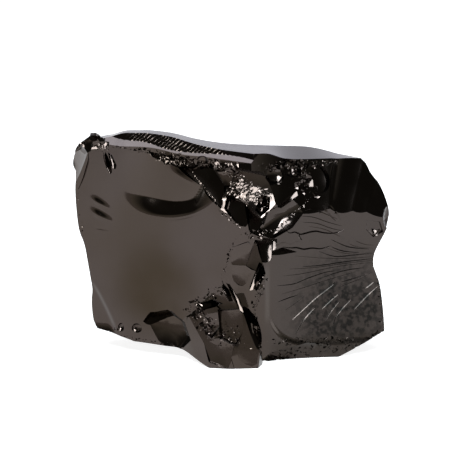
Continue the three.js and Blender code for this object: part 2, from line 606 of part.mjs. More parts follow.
function toGeometry(made) {
  const { vertProperties, triVerts } = made.getMesh();
  const geometry = new THREE.BufferGeometry();
  geometry.setAttribute("position", new THREE.BufferAttribute(vertProperties, 3));
  geometry.setIndex(new THREE.BufferAttribute(triVerts, 1));
  geometry.computeVertexNormals();
  return geometry;
}

const shungite = new THREE.Mesh(
  toGeometry(stone),
  new THREE.MeshStandardMaterial({ color: 0x1c1917, roughness: 0.16, metalness: 0.6 }),
);
shungite.name = "stone";

const specimen = new THREE.Group();
specimen.add(shungite);
export default specimen;
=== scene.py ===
# %% [markdown]
# # A lump of noble shungite
# Noble shungite is almost pure carbon rock. It is black, glassy and faintly metallic, and it breaks like
# thick glass: in wide hollow faces with curved ribs, sharp ridges between them, and strips of crushed chips
# where many small breaks met. This notebook makes one lump the way nature did. It starts from a plain block
# and takes away every break, one cutting tool for each, and then gives the stone its finish, a floor,
# lights and a camera.

# %% Load the frame
import math

import bmesh
import bpy
import numpy as np
from mathutils import Matrix, Vector
from mathutils.bvhtree import BVHTree


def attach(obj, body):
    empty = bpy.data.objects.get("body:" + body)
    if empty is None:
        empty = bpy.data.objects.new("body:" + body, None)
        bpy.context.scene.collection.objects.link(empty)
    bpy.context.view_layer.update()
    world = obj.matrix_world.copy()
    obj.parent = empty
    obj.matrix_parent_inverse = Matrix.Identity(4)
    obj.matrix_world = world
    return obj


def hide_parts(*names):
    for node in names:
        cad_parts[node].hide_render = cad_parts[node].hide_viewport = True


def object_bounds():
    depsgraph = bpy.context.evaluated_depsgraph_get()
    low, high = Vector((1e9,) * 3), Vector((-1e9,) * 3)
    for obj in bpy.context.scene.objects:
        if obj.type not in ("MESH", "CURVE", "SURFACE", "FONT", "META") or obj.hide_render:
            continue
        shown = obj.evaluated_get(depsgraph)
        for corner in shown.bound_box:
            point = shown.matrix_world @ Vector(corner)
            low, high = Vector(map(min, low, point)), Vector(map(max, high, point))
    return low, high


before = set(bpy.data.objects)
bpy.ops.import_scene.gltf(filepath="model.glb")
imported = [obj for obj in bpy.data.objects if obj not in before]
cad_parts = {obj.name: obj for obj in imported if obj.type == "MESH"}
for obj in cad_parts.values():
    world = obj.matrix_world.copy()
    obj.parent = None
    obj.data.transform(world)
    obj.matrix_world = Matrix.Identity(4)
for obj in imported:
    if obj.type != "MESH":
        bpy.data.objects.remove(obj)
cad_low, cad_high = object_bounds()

MM = 0.001
print("the CAD stone measures", [round(float(b - a) / MM, 1) for a, b in zip(cad_low, cad_high)], "mm")

# %% [markdown]
# ## Curves and ramps
# The outline of a broken stone is a row of gentle scallops. A few points joined by a smooth
# curve give that with the fewest numbers. The curve is a cubic Hermite spline, worked out here for whole
# arrays of positions at once, because every surface below is a height over a fine grid of points.

# %% A smooth curve through points, and a smooth ramp
def through(points):
    xs, ys = np.array(points, float).T
    order = np.arange(len(xs))
    before, after = np.maximum(order - 1, 0), np.minimum(order + 1, len(xs) - 1)
    slope = (ys[after] - ys[before]) / (xs[after] - xs[before])

    def curve(x):
        x = np.clip(x, xs[0], xs[-1])
        i = np.clip(np.searchsorted(xs, x, side="right") - 1, 0, len(xs) - 2)
        w = xs[i + 1] - xs[i]
        t = (x - xs[i]) / w
        s = 1 - t
        return ((1 + 2 * t) * s * s * ys[i] + t * s * s * w * slope[i]
                + t * t * (3 - 2 * t) * ys[i + 1] - t * t * s * w * slope[i + 1])
    return curve


def smooth(a, b, x):
    """0 at a and 1 at b, with a soft start and end. With b below a it falls instead."""
    t = np.clip((x - a) / (b - a), 0, 1)
    return t * t * (3 - 2 * t)


def hump(a, b, x):
    """0 outside a to b and 1 halfway between them."""
    return np.sin(math.pi * np.clip((x - a) / (b - a), 0, 1))


def over(x):
    """Only what is above zero."""
    return np.maximum(0, x)


# %% [markdown]
# ## The ridges at the two sides
# Seen from the front, the lump ends in a ridge on each side. Each ridge is x as a curve of the height z, in
# millimetres. The side faces start from these curves, so the outline stays right whatever is done behind
# it.

# %% Left and right ridge
left_ridge = through([
    (0, -29.5), (4.8, -30.9), (7, -32.2), (12, -32.7), (15, -32.5), (21.9, -33.5), (26.2, -34.3),
    (29.1, -35.4), (33.4, -36), (38.6, -36.3), (43.9, -36.3), (45, -37.3), (47.2, -37.2),
    (49.1, -36.1), (50.5, -35.1), (52, -32.6),
])
right_ridge = through([
    (0, 34.2), (4.1, 35.7), (5.2, 36.4), (8.8, 36.3), (14.5, 35.7), (17.4, 35.2), (20.3, 34.2),
    (21.7, 33.7), (24.6, 33.8), (27.4, 35), (30.3, 36.5), (33.2, 37.4), (34.6, 37.4),
    (38.2, 36.4), (41.3, 34.9), (43.2, 33.3), (46.2, 31.7), (48, 29),
])
print("width at mid height", round(float(right_ridge(25.0) - left_ridge(25.0)), 1), "mm")


# %% [markdown]
# ## The front left face
# This is one wide blow: a plane with a shallow hollow in it. An older flake came off near its top edge. It
# stopped in a curved step, and the step is tilted upwards, so it mirrors the dark ceiling as a black
# crescent. The fine ribs along its right part are what a crack front leaves when it slows down. Short
# bulges stand out at the left edge and near the top, and left of a fold line near the foot the face lies
# deeper.

# %% Front left face
FRONT_RIDGE = -17  # y where the left face meets the spine
LEFT_SLOPE = 0.49  # how fast the left face runs back towards the left
LOBE_RIB, LOBE_RIB_GAP = 0.03, 0.75  # height and spacing of the fine ribs along the step

lobe_top = through([
    (-26, 40.8), (-23.2, 39.3), (-20.1, 38.7), (-16.9, 38.1), (-13.8, 37.8), (-10.6, 38), (-7.9, 39),
    (-6.5, 41.2), (-5.3, 43.6), (-3, 48),
])
lobe_foot = through([
    (-27, 39.2), (-24.3, 37.2), (-21.5, 35.2), (-19, 34.4), (-15.8, 34.2), (-12.7, 34.4), (-9.6, 35.2),
    (-7.5, 36.1), (-4.9, 37.7), (-3, 39.4), (0, 42),
])
fold_line = through([(4, -25.4), (6.5, -26.2), (9.3, -27.4), (12.7, -29.1), (16.2, -31), (19.7, -33.1)])


def bulge(x, z, middle_x, middle_z, half_x, half_z, fall):
    """A soft swelling that ends sooner on its left and falls to the right."""
    across = np.exp(-(((x - middle_x) / np.where(x < middle_x, 0.5 * half_x, half_x)) ** 2))
    return across * np.exp(-(((z - middle_z + fall * (x - middle_x)) / half_z) ** 2))


def left_face(x, z):
    plane = FRONT_RIDGE - LEFT_SLOPE * x + 0.03 * (z - 25)
    hollow = 1.1 * np.exp(-(((x + 18) / 15) ** 2) - ((z - 20) / 15) ** 2)
    top, foot = lobe_top(x), lobe_foot(x)
    climb = np.clip((z - foot) / (top - foot), 0, 1)
    size = 2.2 * smooth(-26, -15, x) + 0.6 * smooth(-12, -5, x)
    lobe = size * climb ** 1.6 * (1.6 - 0.6 * climb)
    ribs = LOBE_RIB * np.sin(2 * math.pi * (z - foot) / LOBE_RIB_GAP)
    ribs = ribs * smooth(-2.4, -0.2, z - foot) * smooth(1.4, 0.4, z - foot)
    bars = 0.5 * bulge(x, z, -30.9, 36.5, 2.2, 0.8, 0.5) + 0.62 * bulge(x, z, -30.8, 33.4, 2.6, 1.0, 0.45)
    bars = bars + 0.05 * bulge(x, z, -30.4, 29.7, 3.0, 0.25, 0.05)
    bars = bars + 0.5 * bulge(x, z, -11.8, 44.2, 2.6, 1.2, 0.6)
    left = over(fold_line(z) - x)
    fold = 1.2 * smooth(0, 2.0, left) * smooth(2.5, 7, z) * smooth(20, 14, z)
    return plane + hollow + lobe + ribs * smooth(-19, -10, x) - bars + fold


print("middle of the left face at y", round(float(left_face(-18.0, 25.0)), 1), "mm")

# %% [markdown]
# ## The front right face
# The right face is another single blow. Its crack started beyond the right ridge, so its rim curves round
# on the left, where the surface turns away. Inside the rim the face drops by a low lip, and a lower step
# crosses it near the top. The rim is a rounded rectangle, which one power of the distances gives.

# %% Front right face
RIM_X, RIM_Z, RIM_HALF_X, RIM_HALF_Z = 27, 24, 18.6, 20
RIM_POWER = 3.8  # 2 would be an oval, and more is squarer


def right_face(x, z):
    plane = -20.2 + 0.4 * x + 0.02 * (z - 25)
    hollow = 1.3 * np.exp(-(((x - 24) / 13) ** 2) - ((z - 18) / 14) ** 2)
    rim = (np.abs(x - RIM_X) / RIM_HALF_X) ** RIM_POWER + (np.abs(z - RIM_Z) / RIM_HALF_Z) ** RIM_POWER
    rim = rim ** (1 / RIM_POWER)
    turned = 3.2 * smooth(1.0, 1.5, rim) * smooth(26, 14, z)
    lip = 0.5 * smooth(1.03, 0.97, rim) * smooth(31, 22, z)
    step = 0.12 * smooth(28.6, 29.2, z + 0.3 * np.sin(1.9 * x)) * smooth(26, 22, x) * smooth(7, 10, x)
    return plane + hollow + turned + lip + step


print("middle of the right face at y", round(float(right_face(22.0, 18.0)), 1), "mm")

# %% [markdown]
# ## The dark facet at the upper right
# Four flakes were struck side by side from the top edge. Each left a hollow flute, and a sharp ridge stands
# between each two. The deepest of several hollows is the largest of their heights, so one maximum makes
# them all.

# %% Upper right facet
# for each: x of the middle at z 35, its lean with the height, half its width, and how much deeper it is
FLUTES = [(19, 0.05, 5.6, 0), (25.4, 0.28, 3.6, 0), (29.8, 0.36, 3.4, -0.5), (36, 0.3, 5.5, -0.2)]


def upper_right(x, z):
    lean = -13.1 + 0.36 * (x - 20) + 0.18 * over(x - 23) + 0.68 * (z - 35)
    hollows = [1.3 + deeper - 1.1 * ((x - middle - fan * (z - 35)) / half) ** 2 - 0.12 * over(38 - z)
               for middle, fan, half, deeper in FLUTES]
    return lean + np.maximum(-20, np.max(hollows, axis=0))


# %% [markdown]
# ## The top
# The top is in two levels. A crack ran along the rear level and left a low riser, ribbed where it tore. In
# front of the riser lies a narrow smooth ledge that falls gently from the left horn to the middle of the
# stone.

# %% Top, ledge and riser
riser_foot = through([
    (-40, 12), (-34, 6), (-31, 2.4), (-28, -0.8), (-24, -3.1), (-20.7, -4.1), (-17.6, -4.9), (-14.9, -5.7),
    (-11, -6.6), (-4.3, -8.6), (0.9, -10.4), (5.2, -12.4), (8, -14.6), (11, -17.6),
    (13.4, -21.5),
])
rear_top_profile = through([
    (-38, 48), (-31, 51), (-28, 51.6), (-24.8, 52.5), (-22, 52.6), (-19, 52.6), (-13.5, 51.9),
    (-8, 50.5), (-2, 49.5), (5, 49), (16, 48.7), (19, 48.5), (23, 47.7), (26, 46.9), (31, 46), (38, 45),
])
top_lean = through([  # how much the top rises towards the front
    (-12, 0.055), (5, 0.04), (9, 0.03), (13, -0.05), (18, -0.085), (21, -0.06), (24, -0.007), (27, 0.042),
    (33, 0.13),
])
ledge_profile = through([
    (-38, 52.2), (-33, 51.9), (-31.2, 52.6), (-30, 51.9), (-29, 51), (-27.4, 50.6), (-25.5, 50.45),
    (-23.6, 50.35), (-21.1, 50.1), (-18.7, 49.7), (-15.9, 49.1), (-12.8, 48.5), (-9.1, 48), (-4.3, 47.6),
    (0.9, 47.2), (5.2, 46.9), (7.6, 46.9), (10.4, 47.6), (13, 49),
])
LEDGE_SETBACK = 0.8  # ledge_profile holds this far behind the plane of the left face
LEDGE_WIDTH = 5.6  # from there the ledge climbs backwards over this width


def rear_top(x, y):
    behind = 0.28 * over(y - 10) + 0.02 * over(y - 10) ** 2
    horn = 4 * smooth(-1, -4, y - riser_foot(x)) * smooth(-27, -30, x)
    return rear_top_profile(x) + top_lean(x) * (10 - y) - behind + horn


def ledge(x, y):
    past = y - (FRONT_RIDGE + LEDGE_SETBACK - LEFT_SLOPE * x)
    return ledge_profile(x) + 0.42 * np.minimum(past, LEDGE_WIDTH) - 0.3 * over(past - LEDGE_WIDTH)


RIB_HEIGHT, RIB_GAP = 0.135, 1.15
RIB_RISE = 0.22  # the part of each gap over which a rib climbs; over the rest it falls gently
RISER_SLOPE, RISER_Z = 1.25, 50.4  # how the riser leans back, and the height at which riser_foot holds


def riser(x, z):
    along = (x - 1.4 * z + 0.3 * np.sin(0.9 * x) + 0.12 * np.sin(3.1 * z + 1.3 * x)) / RIB_GAP
    tooth = along - np.floor(along)
    ribs = RIB_HEIGHT * np.minimum(tooth / RIB_RISE, (1 - tooth) / (1 - RIB_RISE))
    ribs = ribs * smooth(-30, -24, x) * smooth(6, -2, x)
    return riser_foot(x) + RISER_SLOPE * (z - RISER_Z) + ribs


# %% [markdown]
# ## The underside, the sides and the back
# The stone rests on a flat break, and scars turn up from it towards every edge. The sides and the back
# taper away behind the ridges in long shallow hollows.

# %% Underside, sides and back
under_front = through([
    (-38, 7), (-32, 5.2), (-30.5, 3.9), (-27, 3.6), (-17.7, 3.3), (-10.5, 2.8), (-7.6, 1.6), (-5, 0.5),
    (-2.5, 0), (6, 0), (7.6, 0.7), (9.5, 0.1), (14, 0), (20, 0), (26, 0.4), (28, 1.4), (29.5, 2.2),
    (32, 3.3), (35, 4.7), (38, 6.5),
])


def underside(x, y):
    front = under_front(x) * smooth(6, -12, y - 0.35 * np.abs(x))
    return np.maximum.reduce([front, 0.22 * over(-10 - x), 0.5 * over(x - 25), 0.35 * over(y - 10)])


def left_side(y, z):
    return left_ridge(z) + 0.3 * over(y - 4) + 1.1 * hump(4, 21, y) * smooth(0, 12, z)


def right_side(y, z):
    return right_ridge(z) - 0.3 * over(y - 4) - 1.3 * hump(4, 20, y)


def back(x, z):
    left = 21 + 0.36 * (x + 6) - 1.2 * hump(-36, -6, x)
    right = 21 - 0.32 * (x + 6) - 1.4 * hump(-6, 32, x) - 0.05 * (z - 24)
    return np.minimum(left, right)


# %% [markdown]
# ## The cutting tools
# A tool is a closed solid whose one side is the broken surface. Every tool carries its own number on its
# faces. The boolean keeps those numbers, and later they tell where one break meets another.

# %% One tool
tool_count = 0


def tool_object(points, faces):
    """A closed solid from points in millimetres, with its faces turned outwards."""
    global tool_count
    tool_count += 1
    mesh = bpy.data.meshes.new("tool")
    mesh.from_pydata(np.asarray(points) * MM, [], faces)
    numbers = mesh.attributes.new("break_number", "INT", "FACE")
    numbers.data.foreach_set("value", [tool_count] * len(mesh.polygons))
    check = bmesh.new()
    check.from_mesh(mesh)
    if check.calc_volume(signed=True) < 0:
        bmesh.ops.reverse_faces(check, faces=check.faces)
        check.to_mesh(mesh)
    check.free()
    return bpy.data.objects.new("tool", mesh)


# %% [markdown]
# A sheet is a grid of heights with a flat lid far outside the stone, so it takes away everything on its
# side of the surface. The lines of the grid stand closer together where the surface has more to show.

# %% Sheets
def lines(*stops):
    """Positions from stop to stop. A stop is (start, spacing), and the last one is only the end."""
    rows = []
    ends = [start for start, _ in stops[1:-1]] + [stops[-1]]
    for (start, spacing), end in zip(stops[:-1], ends):
        rows.append(np.linspace(start, end, max(1, round((end - start) / spacing)), endpoint=False))
    return np.append(np.concatenate(rows), stops[-1])


def sheet(u, v, arrange, height, beyond):
    """All that lies between the surface height(u, v) and a flat lid at beyond."""
    us, vs = np.meshgrid(u, v)
    shape = us.shape
    us, vs = us.ravel(), vs.ravel()
    low = arrange(us, vs, height(us, vs))
    lid = arrange(us, vs, np.full_like(us, beyond))
    points = np.vstack([np.stack(low, 1), np.stack(lid, 1)])
    total = len(us)
    grid = np.arange(total).reshape(shape)
    a, b, c, d = grid[:-1, :-1], grid[:-1, 1:], grid[1:, 1:], grid[1:, :-1]
    broken = np.stack([a, d, c, b], -1).reshape(-1, 4)
    cover = np.stack([a, b, c, d], -1).reshape(-1, 4) + total
    rim = np.concatenate([grid[0, :-1], grid[:-1, -1], grid[-1, :0:-1], grid[:0:-1, 0]])
    onward = np.roll(rim, -1)
    walls = np.stack([rim, onward, onward + total, rim + total], -1)
    return tool_object(points, np.vstack([broken, cover, walls]).tolist())


# %% [markdown]
# A flake is one blow. In its own frame it is a round hollow with a steep wall outside its rim, made of
# rings of points. The faint ribs in it are circles about the point that was struck, at the top of the rim,
# as in every conchoidal break.

# %% Flakes
FLAKE_RINGS, FLAKE_SPOKES = 9, 36  # rings up to the rim, and points on each
FLAKE_RIB, FLAKE_RIB_GAP = 0.012, 0.9  # height and spacing of the ribs
RIM_WALL = 1.6  # how high the steep wall round a flake climbs
FLAKE_REACH = 9  # how high its lid lies


def facing(turn, tilt):
    """The way a face looks when it is turned to the right and tilted up, in degrees from straight ahead."""
    turn, tilt = math.radians(turn), math.radians(tilt)
    return Vector((math.sin(turn) * math.cos(tilt), -math.cos(turn) * math.cos(tilt), math.sin(tilt)))


def ring_faces(rings, spokes):
    """Faces for points that come as a middle, ring after ring, and the middle of the lid."""
    ring = 1 + np.arange(rings * spokes).reshape(rings, spokes)
    onward = np.roll(ring, -1, axis=1)
    faces = np.stack([ring[:-1], onward[:-1], onward[1:], ring[1:]], -1).reshape(-1, 4).tolist()
    faces += [[0, b, a] for a, b in zip(ring[0].tolist(), onward[0].tolist())]
    faces += [[a, b, rings * spokes + 1] for a, b in zip(ring[-1].tolist(), onward[-1].tolist())]
    return faces


def flake(at, turn, tilt, across, along, deep, roll=0):
    out = facing(turn, tilt)
    right = Matrix.Rotation(math.radians(roll), 3, out) @ Vector((0, 0, 1)).cross(out).normalized()
    up = out.cross(right)
    inside = np.linspace(0, 1, FLAKE_RINGS + 1)[1:]
    r = np.concatenate([inside, [1.07, 1.14, 1.2, 1.2]])
    rise = deep * (r ** 2 - 1)
    wall = [0.35 * RIM_WALL + 0.1 * deep, 0.7 * RIM_WALL + 0.25 * deep, RIM_WALL + 0.4 * deep]
    rise[FLAKE_RINGS:] = [*wall, FLAKE_REACH]
    angle = np.arange(FLAKE_SPOKES) * 2 * math.pi / FLAKE_SPOKES
    u = across * r[:, None] * np.cos(angle)
    v = along * r[:, None] * np.sin(angle)
    h = rise[:, None] + 0 * u
    struck = np.hypot(u, v - along)
    wave = FLAKE_RIB * np.sin(2 * math.pi * struck / FLAKE_RIB_GAP) * smooth(0, 0.3 * along, struck)
    h[:FLAKE_RINGS] += wave[:FLAKE_RINGS]
    flat = np.stack([np.append(0, np.append(u, 0)), np.append(0, np.append(v, 0)),
                     np.append(-deep, np.append(h, FLAKE_REACH))], 1)
    points = np.array(at) + flat @ np.array([right, up, out])
    return tool_object(points, ring_faces(len(r), FLAKE_SPOKES))


# %% [markdown]
# A facet is a flake with a cornered outline. Its corners are places on the front, as x and z. The facet
# lies a little below the front faces there, or at a y of its own, and is turned and tilted as asked. Like a
# flake it is slightly hollow, and its wall leans outwards.

# %% Facets
FAR = 60  # well outside the block
FACET_RINGS, FACET_SPLIT = 3, 3  # rings up to the rim, and pieces of each side of the outline


def on_front(x, z, below=0.0):
    """The place on the front at x and z, which is on the deepest of its three faces."""
    return x, float(np.max([left_face(x, z), right_face(x, z), upper_right(x, z)])) + below, z


def facet(corners, turn, tilt, hollow, below=0, front=None):
    corners = np.array(corners, float)
    steps = np.linspace(0, 1, FACET_SPLIT, endpoint=False)[:, None]
    outline = np.concatenate([a + (b - a) * steps for a, b in zip(corners, np.roll(corners, -1, axis=0))])
    middle = outline.mean(0)
    slope_x = math.tan(math.radians(turn))
    slope_z = math.tan(math.radians(tilt)) / math.cos(math.radians(turn))
    scale = np.concatenate([np.linspace(0, 1, FACET_RINGS + 1)[1:], [1.1, 1.22, 1.22]])
    ring_x, ring_z = (middle[k] + scale[:, None] * (outline[:, k] - middle[k]) for k in (0, 1))
    start = on_front(*middle, below)[1] if front is None else front
    ring_y = start + slope_x * (ring_x - middle[0]) + slope_z * (ring_z - middle[1])
    ring_y[:FACET_RINGS] += hollow * (1 - scale[:FACET_RINGS, None] ** 2)
    ring_y[FACET_RINGS] -= 0.5
    ring_y[FACET_RINGS + 1] -= 1.5
    ring_y[FACET_RINGS + 2] = -FAR
    points = np.stack([ring_x.ravel(), ring_y.ravel(), ring_z.ravel()], 1)
    points = np.vstack([[middle[0], start + hollow, middle[1]], points, [middle[0], -FAR, middle[1]]])
    return tool_object(points, ring_faces(len(scale), len(outline)))


# %% [markdown]
# A groove is a thin three-sided bar swept along a line on the front. It is deepest in the middle of its
# length and thins out towards both ends. Such lines are the hackles that a crack leaves as it tears, and
# scratches.

# %% Grooves
GROOVE_OUT = 0.25  # how far the bar stands out of the stone


def groove(path, width, depth, lean):
    path = np.array(path, float)
    stops = np.arange(len(path))
    at = np.linspace(0, len(path) - 1, 6 * (len(path) - 1) + 1)
    x, z = (through(list(zip(stops, path[:, k])))(at) for k in (0, 1))
    along = np.stack([np.gradient(x), np.gradient(z)])
    along /= np.hypot(*along)
    swell = np.sin(math.pi * np.linspace(0.03, 0.97, len(at))) ** 0.6
    half, deep = 0.5 * width * swell, depth * swell
    wide = half * (deep + GROOVE_OUT) / deep
    y = np.array([on_front(a, b)[1] for a, b in zip(x, z)])
    edges = [(-wide, -GROOVE_OUT), (wide, -GROOVE_OUT), (lean * swell, deep)]
    points = np.stack([np.stack([x - side * along[1], y + down, z + side * along[0]], 1)
                       for side, down in edges], 1)
    index = np.arange(points.shape[0] * 3).reshape(-1, 3)
    faces = [[a[k], b[k], b[k - 2], a[k - 2]] for a, b in zip(index[:-1], index[1:]) for k in range(3)]
    faces += [index[0], index[-1, ::-1]]
    return tool_object(points.reshape(-1, 3), [[int(n) for n in face] for face in faces])


# %% [markdown]
# The manifold solver cuts with a whole collection of tools in one pass and always gives back a closed mesh.
# That is why even two thousand small breaks cost only seconds.

# %% Cutting with many tools at once
def cut(body, tools, operation="DIFFERENCE"):
    box = bpy.data.collections.new("tools")
    bpy.context.scene.collection.children.link(box)
    for tool in tools:
        box.objects.link(tool)
    if not body.users_collection:
        bpy.context.scene.collection.objects.link(body)
    knife = body.modifiers.new("knife", "BOOLEAN")
    knife.solver, knife.operation = "MANIFOLD", operation
    knife.operand_type, knife.collection = "COLLECTION", box
    seen = body.evaluated_get(bpy.context.evaluated_depsgraph_get())
    made = bpy.data.objects.new("cut", bpy.data.meshes.new_from_object(seen))
    for old in [body, *tools]:
        mesh = old.data
        bpy.data.objects.remove(old)
        bpy.data.meshes.remove(mesh)
    bpy.data.collections.remove(box)
    return made


# %% [markdown]
# ## The broad breaks
# The raw block stands proud of the stone on every side, and the broad tools bring it down to its faces. The
# front is cut on the finest grids, because its long smooth mirrors show every unevenness. The three small
# functions say along which axis the heights of a sheet are measured.

# %% Cut the broad breaks
EDGE_X, EDGE_Y, LOW_Z, HIGH_Z = 44.5, 28.5, -7, 59  # the sheets end here, 1 mm outside the block
COARSE = 1.1  # spacing of the lines on the sides, the back and the underside
HORN_X = -33  # the finer lines of the left half start at the horn


def height_is_y(x, z, y):
    return x, y, z


def height_is_z(x, y, z):
    return x, y, z


def height_is_x(y, z, x):
    return x, y, z


block_x, block_y = (lines((-edge, 20), edge) for edge in (EDGE_X - 1, EDGE_Y - 1))
raw = sheet(block_x, block_y, height_is_z, lambda x, y: 0 * x + LOW_Z + 1, HIGH_Z - 1)
coarse_x, coarse_y = (lines((-edge, COARSE), edge) for edge in (EDGE_X, EDGE_Y))
coarse_z = lines((LOW_Z, COARSE), HIGH_Z)
ledge_tool = sheet(lines((-EDGE_X, 1), (HORN_X, 0.5), 16), lines((-EDGE_Y, 1), 20),
                   height_is_z, ledge, 2 * FAR)
riser_tool = sheet(lines((-EDGE_X, 2), (HORN_X, 0.13), (6, 0.5), 16), lines((45, 0.16), 54),
                   height_is_y, riser, -FAR)
step_tool = cut(ledge_tool, [riser_tool], "INTERSECT")  # what is above the ledge and before the riser
broad = [
    sheet(lines((-EDGE_X, 0.5), (HORN_X, 0.34), (1, 2), EDGE_X),
          lines((LOW_Z, 0.45), (28, 0.15), (42, 0.4), HIGH_Z), height_is_y, left_face, -FAR),
    sheet(lines((-EDGE_X, 2), (2, 0.32), EDGE_X),
          lines((LOW_Z, 0.34), (37, 2), HIGH_Z), height_is_y, right_face, -FAR),
    sheet(lines((-EDGE_X, 2), (11, 0.4), EDGE_X),
          lines((LOW_Z, 2), (26, 0.5), HIGH_Z), height_is_y, upper_right, -FAR),
    sheet(lines((-EDGE_X, 0.5), EDGE_X), lines((-EDGE_Y, 0.6), EDGE_Y), height_is_z, rear_top, 2 * FAR),
    step_tool,
    sheet(coarse_y, coarse_z, height_is_x, left_side, -2 * FAR),
    sheet(coarse_y, coarse_z, height_is_x, right_side, 2 * FAR),
    sheet(coarse_x, coarse_z, height_is_y, back, FAR),
]
stone = cut(raw, broad)
print("after the broad breaks:", len(stone.data.polygons), "faces")

# %% [markdown]
# ## The foot of the spine
# Where the two front faces meet, a spur of stone was left standing at the foot. Its own faces are flat, so
# the hull of a few corner points is enough. It is joined on before the underside is cut, and both end
# level.

# %% Join the spur and cut the underside
SPUR_CORNERS = [
    (-11.4, -11.4, -3), (-11.2, -11.8, 9.5), (-9.6, -13.4, 11.6), (-5, -16.2, 15.6), (-2.4, -17, 19),
    (-4.9, -20.4, -3), (-4.6, -19.9, 4), (0, -21.2, -3), (0.4, -20.9, 5), (6.2, -21, -3), (7, -19.8, 4.2),
    (4.7, -18.6, 13), (3.4, -17.6, 17.5), (8.4, -15, -3), (7.6, -13.6, 4), (3, -9, 18), (-2, -6, -3),
]


def hull(corners):
    shape = bmesh.new()
    for corner in corners:
        shape.verts.new(corner)
    bmesh.ops.convex_hull(shape, input=shape.verts)
    shape.verts.ensure_lookup_table()
    shape.verts.index_update()
    used = [v for v in shape.verts if v.link_faces]
    number = {v.index: n for n, v in enumerate(used)}
    points = [v.co[:] for v in used]
    faces = [[number[v.index] for v in face.verts] for face in shape.faces]
    shape.free()
    return tool_object(points, faces)


stone = cut(stone, [hull(SPUR_CORNERS)], "UNION")
REST = 0.3  # how much of the lowest break the flat resting face takes off
ends_x, ends_y = lines((-EDGE_X, FAR), EDGE_X), lines((-EDGE_Y, FAR), EDGE_Y)
stone = cut(stone, [
    sheet(coarse_x, coarse_y, height_is_z, underside, -FAR),
    sheet(ends_x, ends_y, height_is_z, lambda x, y: 0 * x + REST, -FAR),
])
print("with the spur:", len(stone.data.polygons), "faces")


# %% [markdown]
# ## Single blows
# Each row below is one flake or facet that came off: where it was, which way it faced and how wide and deep
# it went. The broken corner high on the spine, the narrow neck and the foot take most of them. The names at
# the top of a table say what its columns are, and a row may leave out the last ones.

# %% The blows
def table(columns, *rows):
    """The rows as dictionaries, with the columns' names for keys."""
    return [dict(zip(columns.split(), row)) for row in rows]


def on_back(x, z):
    return x, float(back(x, z)), z


def on_left(y, z):
    return float(left_side(y, z)), y, z


def on_right(y, z):
    return float(right_side(y, z)), y, z


blows = table(
    "at turn tilt across along deep roll",
    # the rounded dip where the ledge ends
    ((9.6, -15, 48.6), 6, 64, 4.4, 4.6, 0.7),
    # hollows in the broken corner
    (on_front(13.6, 44.9, 2.2), 22, 34, 2.3, 2.0, 0.7),
    (on_front(20, 42.8, 0.9), 24, 30, 2.6, 3.6, 0.4),
    # the notch between the foot and the right face
    ((6.6, -17.6, 8.4), 40, 6, 1, 6.4, 2, 14),
    # the lower edge of the left face
    (on_front(-21.7, 6.4, 0.1), -24, 30, 1.3, 1.2, 0.5),
    (on_front(-25.5, 6.2, 0.1), -24, 30, 0.8, 1.1, 0.4),
    # the crack at the top left
    (on_front(-28.6, 46.4, 0.1), 24, 8, 0.5, 2.8, 1, 12),
    # the right edge
    ((36.6, -4, 33.4), 70, 2, 2.2, 2.6, 0.6),
    # the lower edge of the right face
    (on_front(22, 2.4, 0.4), 8, -26, 13, 2.6, 0.6),
    # the left side
    (on_left(9, 33), -98, 8, 7, 11, 1),
    (on_left(9, 13), -100, -8, 7, 9, 1),
    (on_left(11, 44), -112, 22, 5, 5, 0.9),
    # the back
    (on_back(-21, 36), -164, 10, 12, 12, 1.2),
    (on_back(-23, 13), -162, -12, 12, 10, 1.1),
    (on_back(5, 35), 168, 12, 11, 12, 1.3),
    (on_back(8, 11), 166, -10, 13, 9, 1.1),
    (on_back(24, 27), 154, 4, 9, 14, 1.1),
    (on_back(-7, 23), 178, -2, 4, 6, 1),
    # the right side
    (on_right(3, 20), 102, -4, 8, 10, 1),
    (on_right(4, 38), 106, 12, 8, 7, 1),
    (on_right(9, 7), 116, -20, 6, 6, 0.9),
    # the underside
    ((-22, 0, 3), -90, -76, 9, 11, 0.7),
    ((29, 2, 2.2), 90, -66, 8, 6, 0.7),
    ((-2, 17, 2.2), 180, -70, 12, 5, 0.6),
)
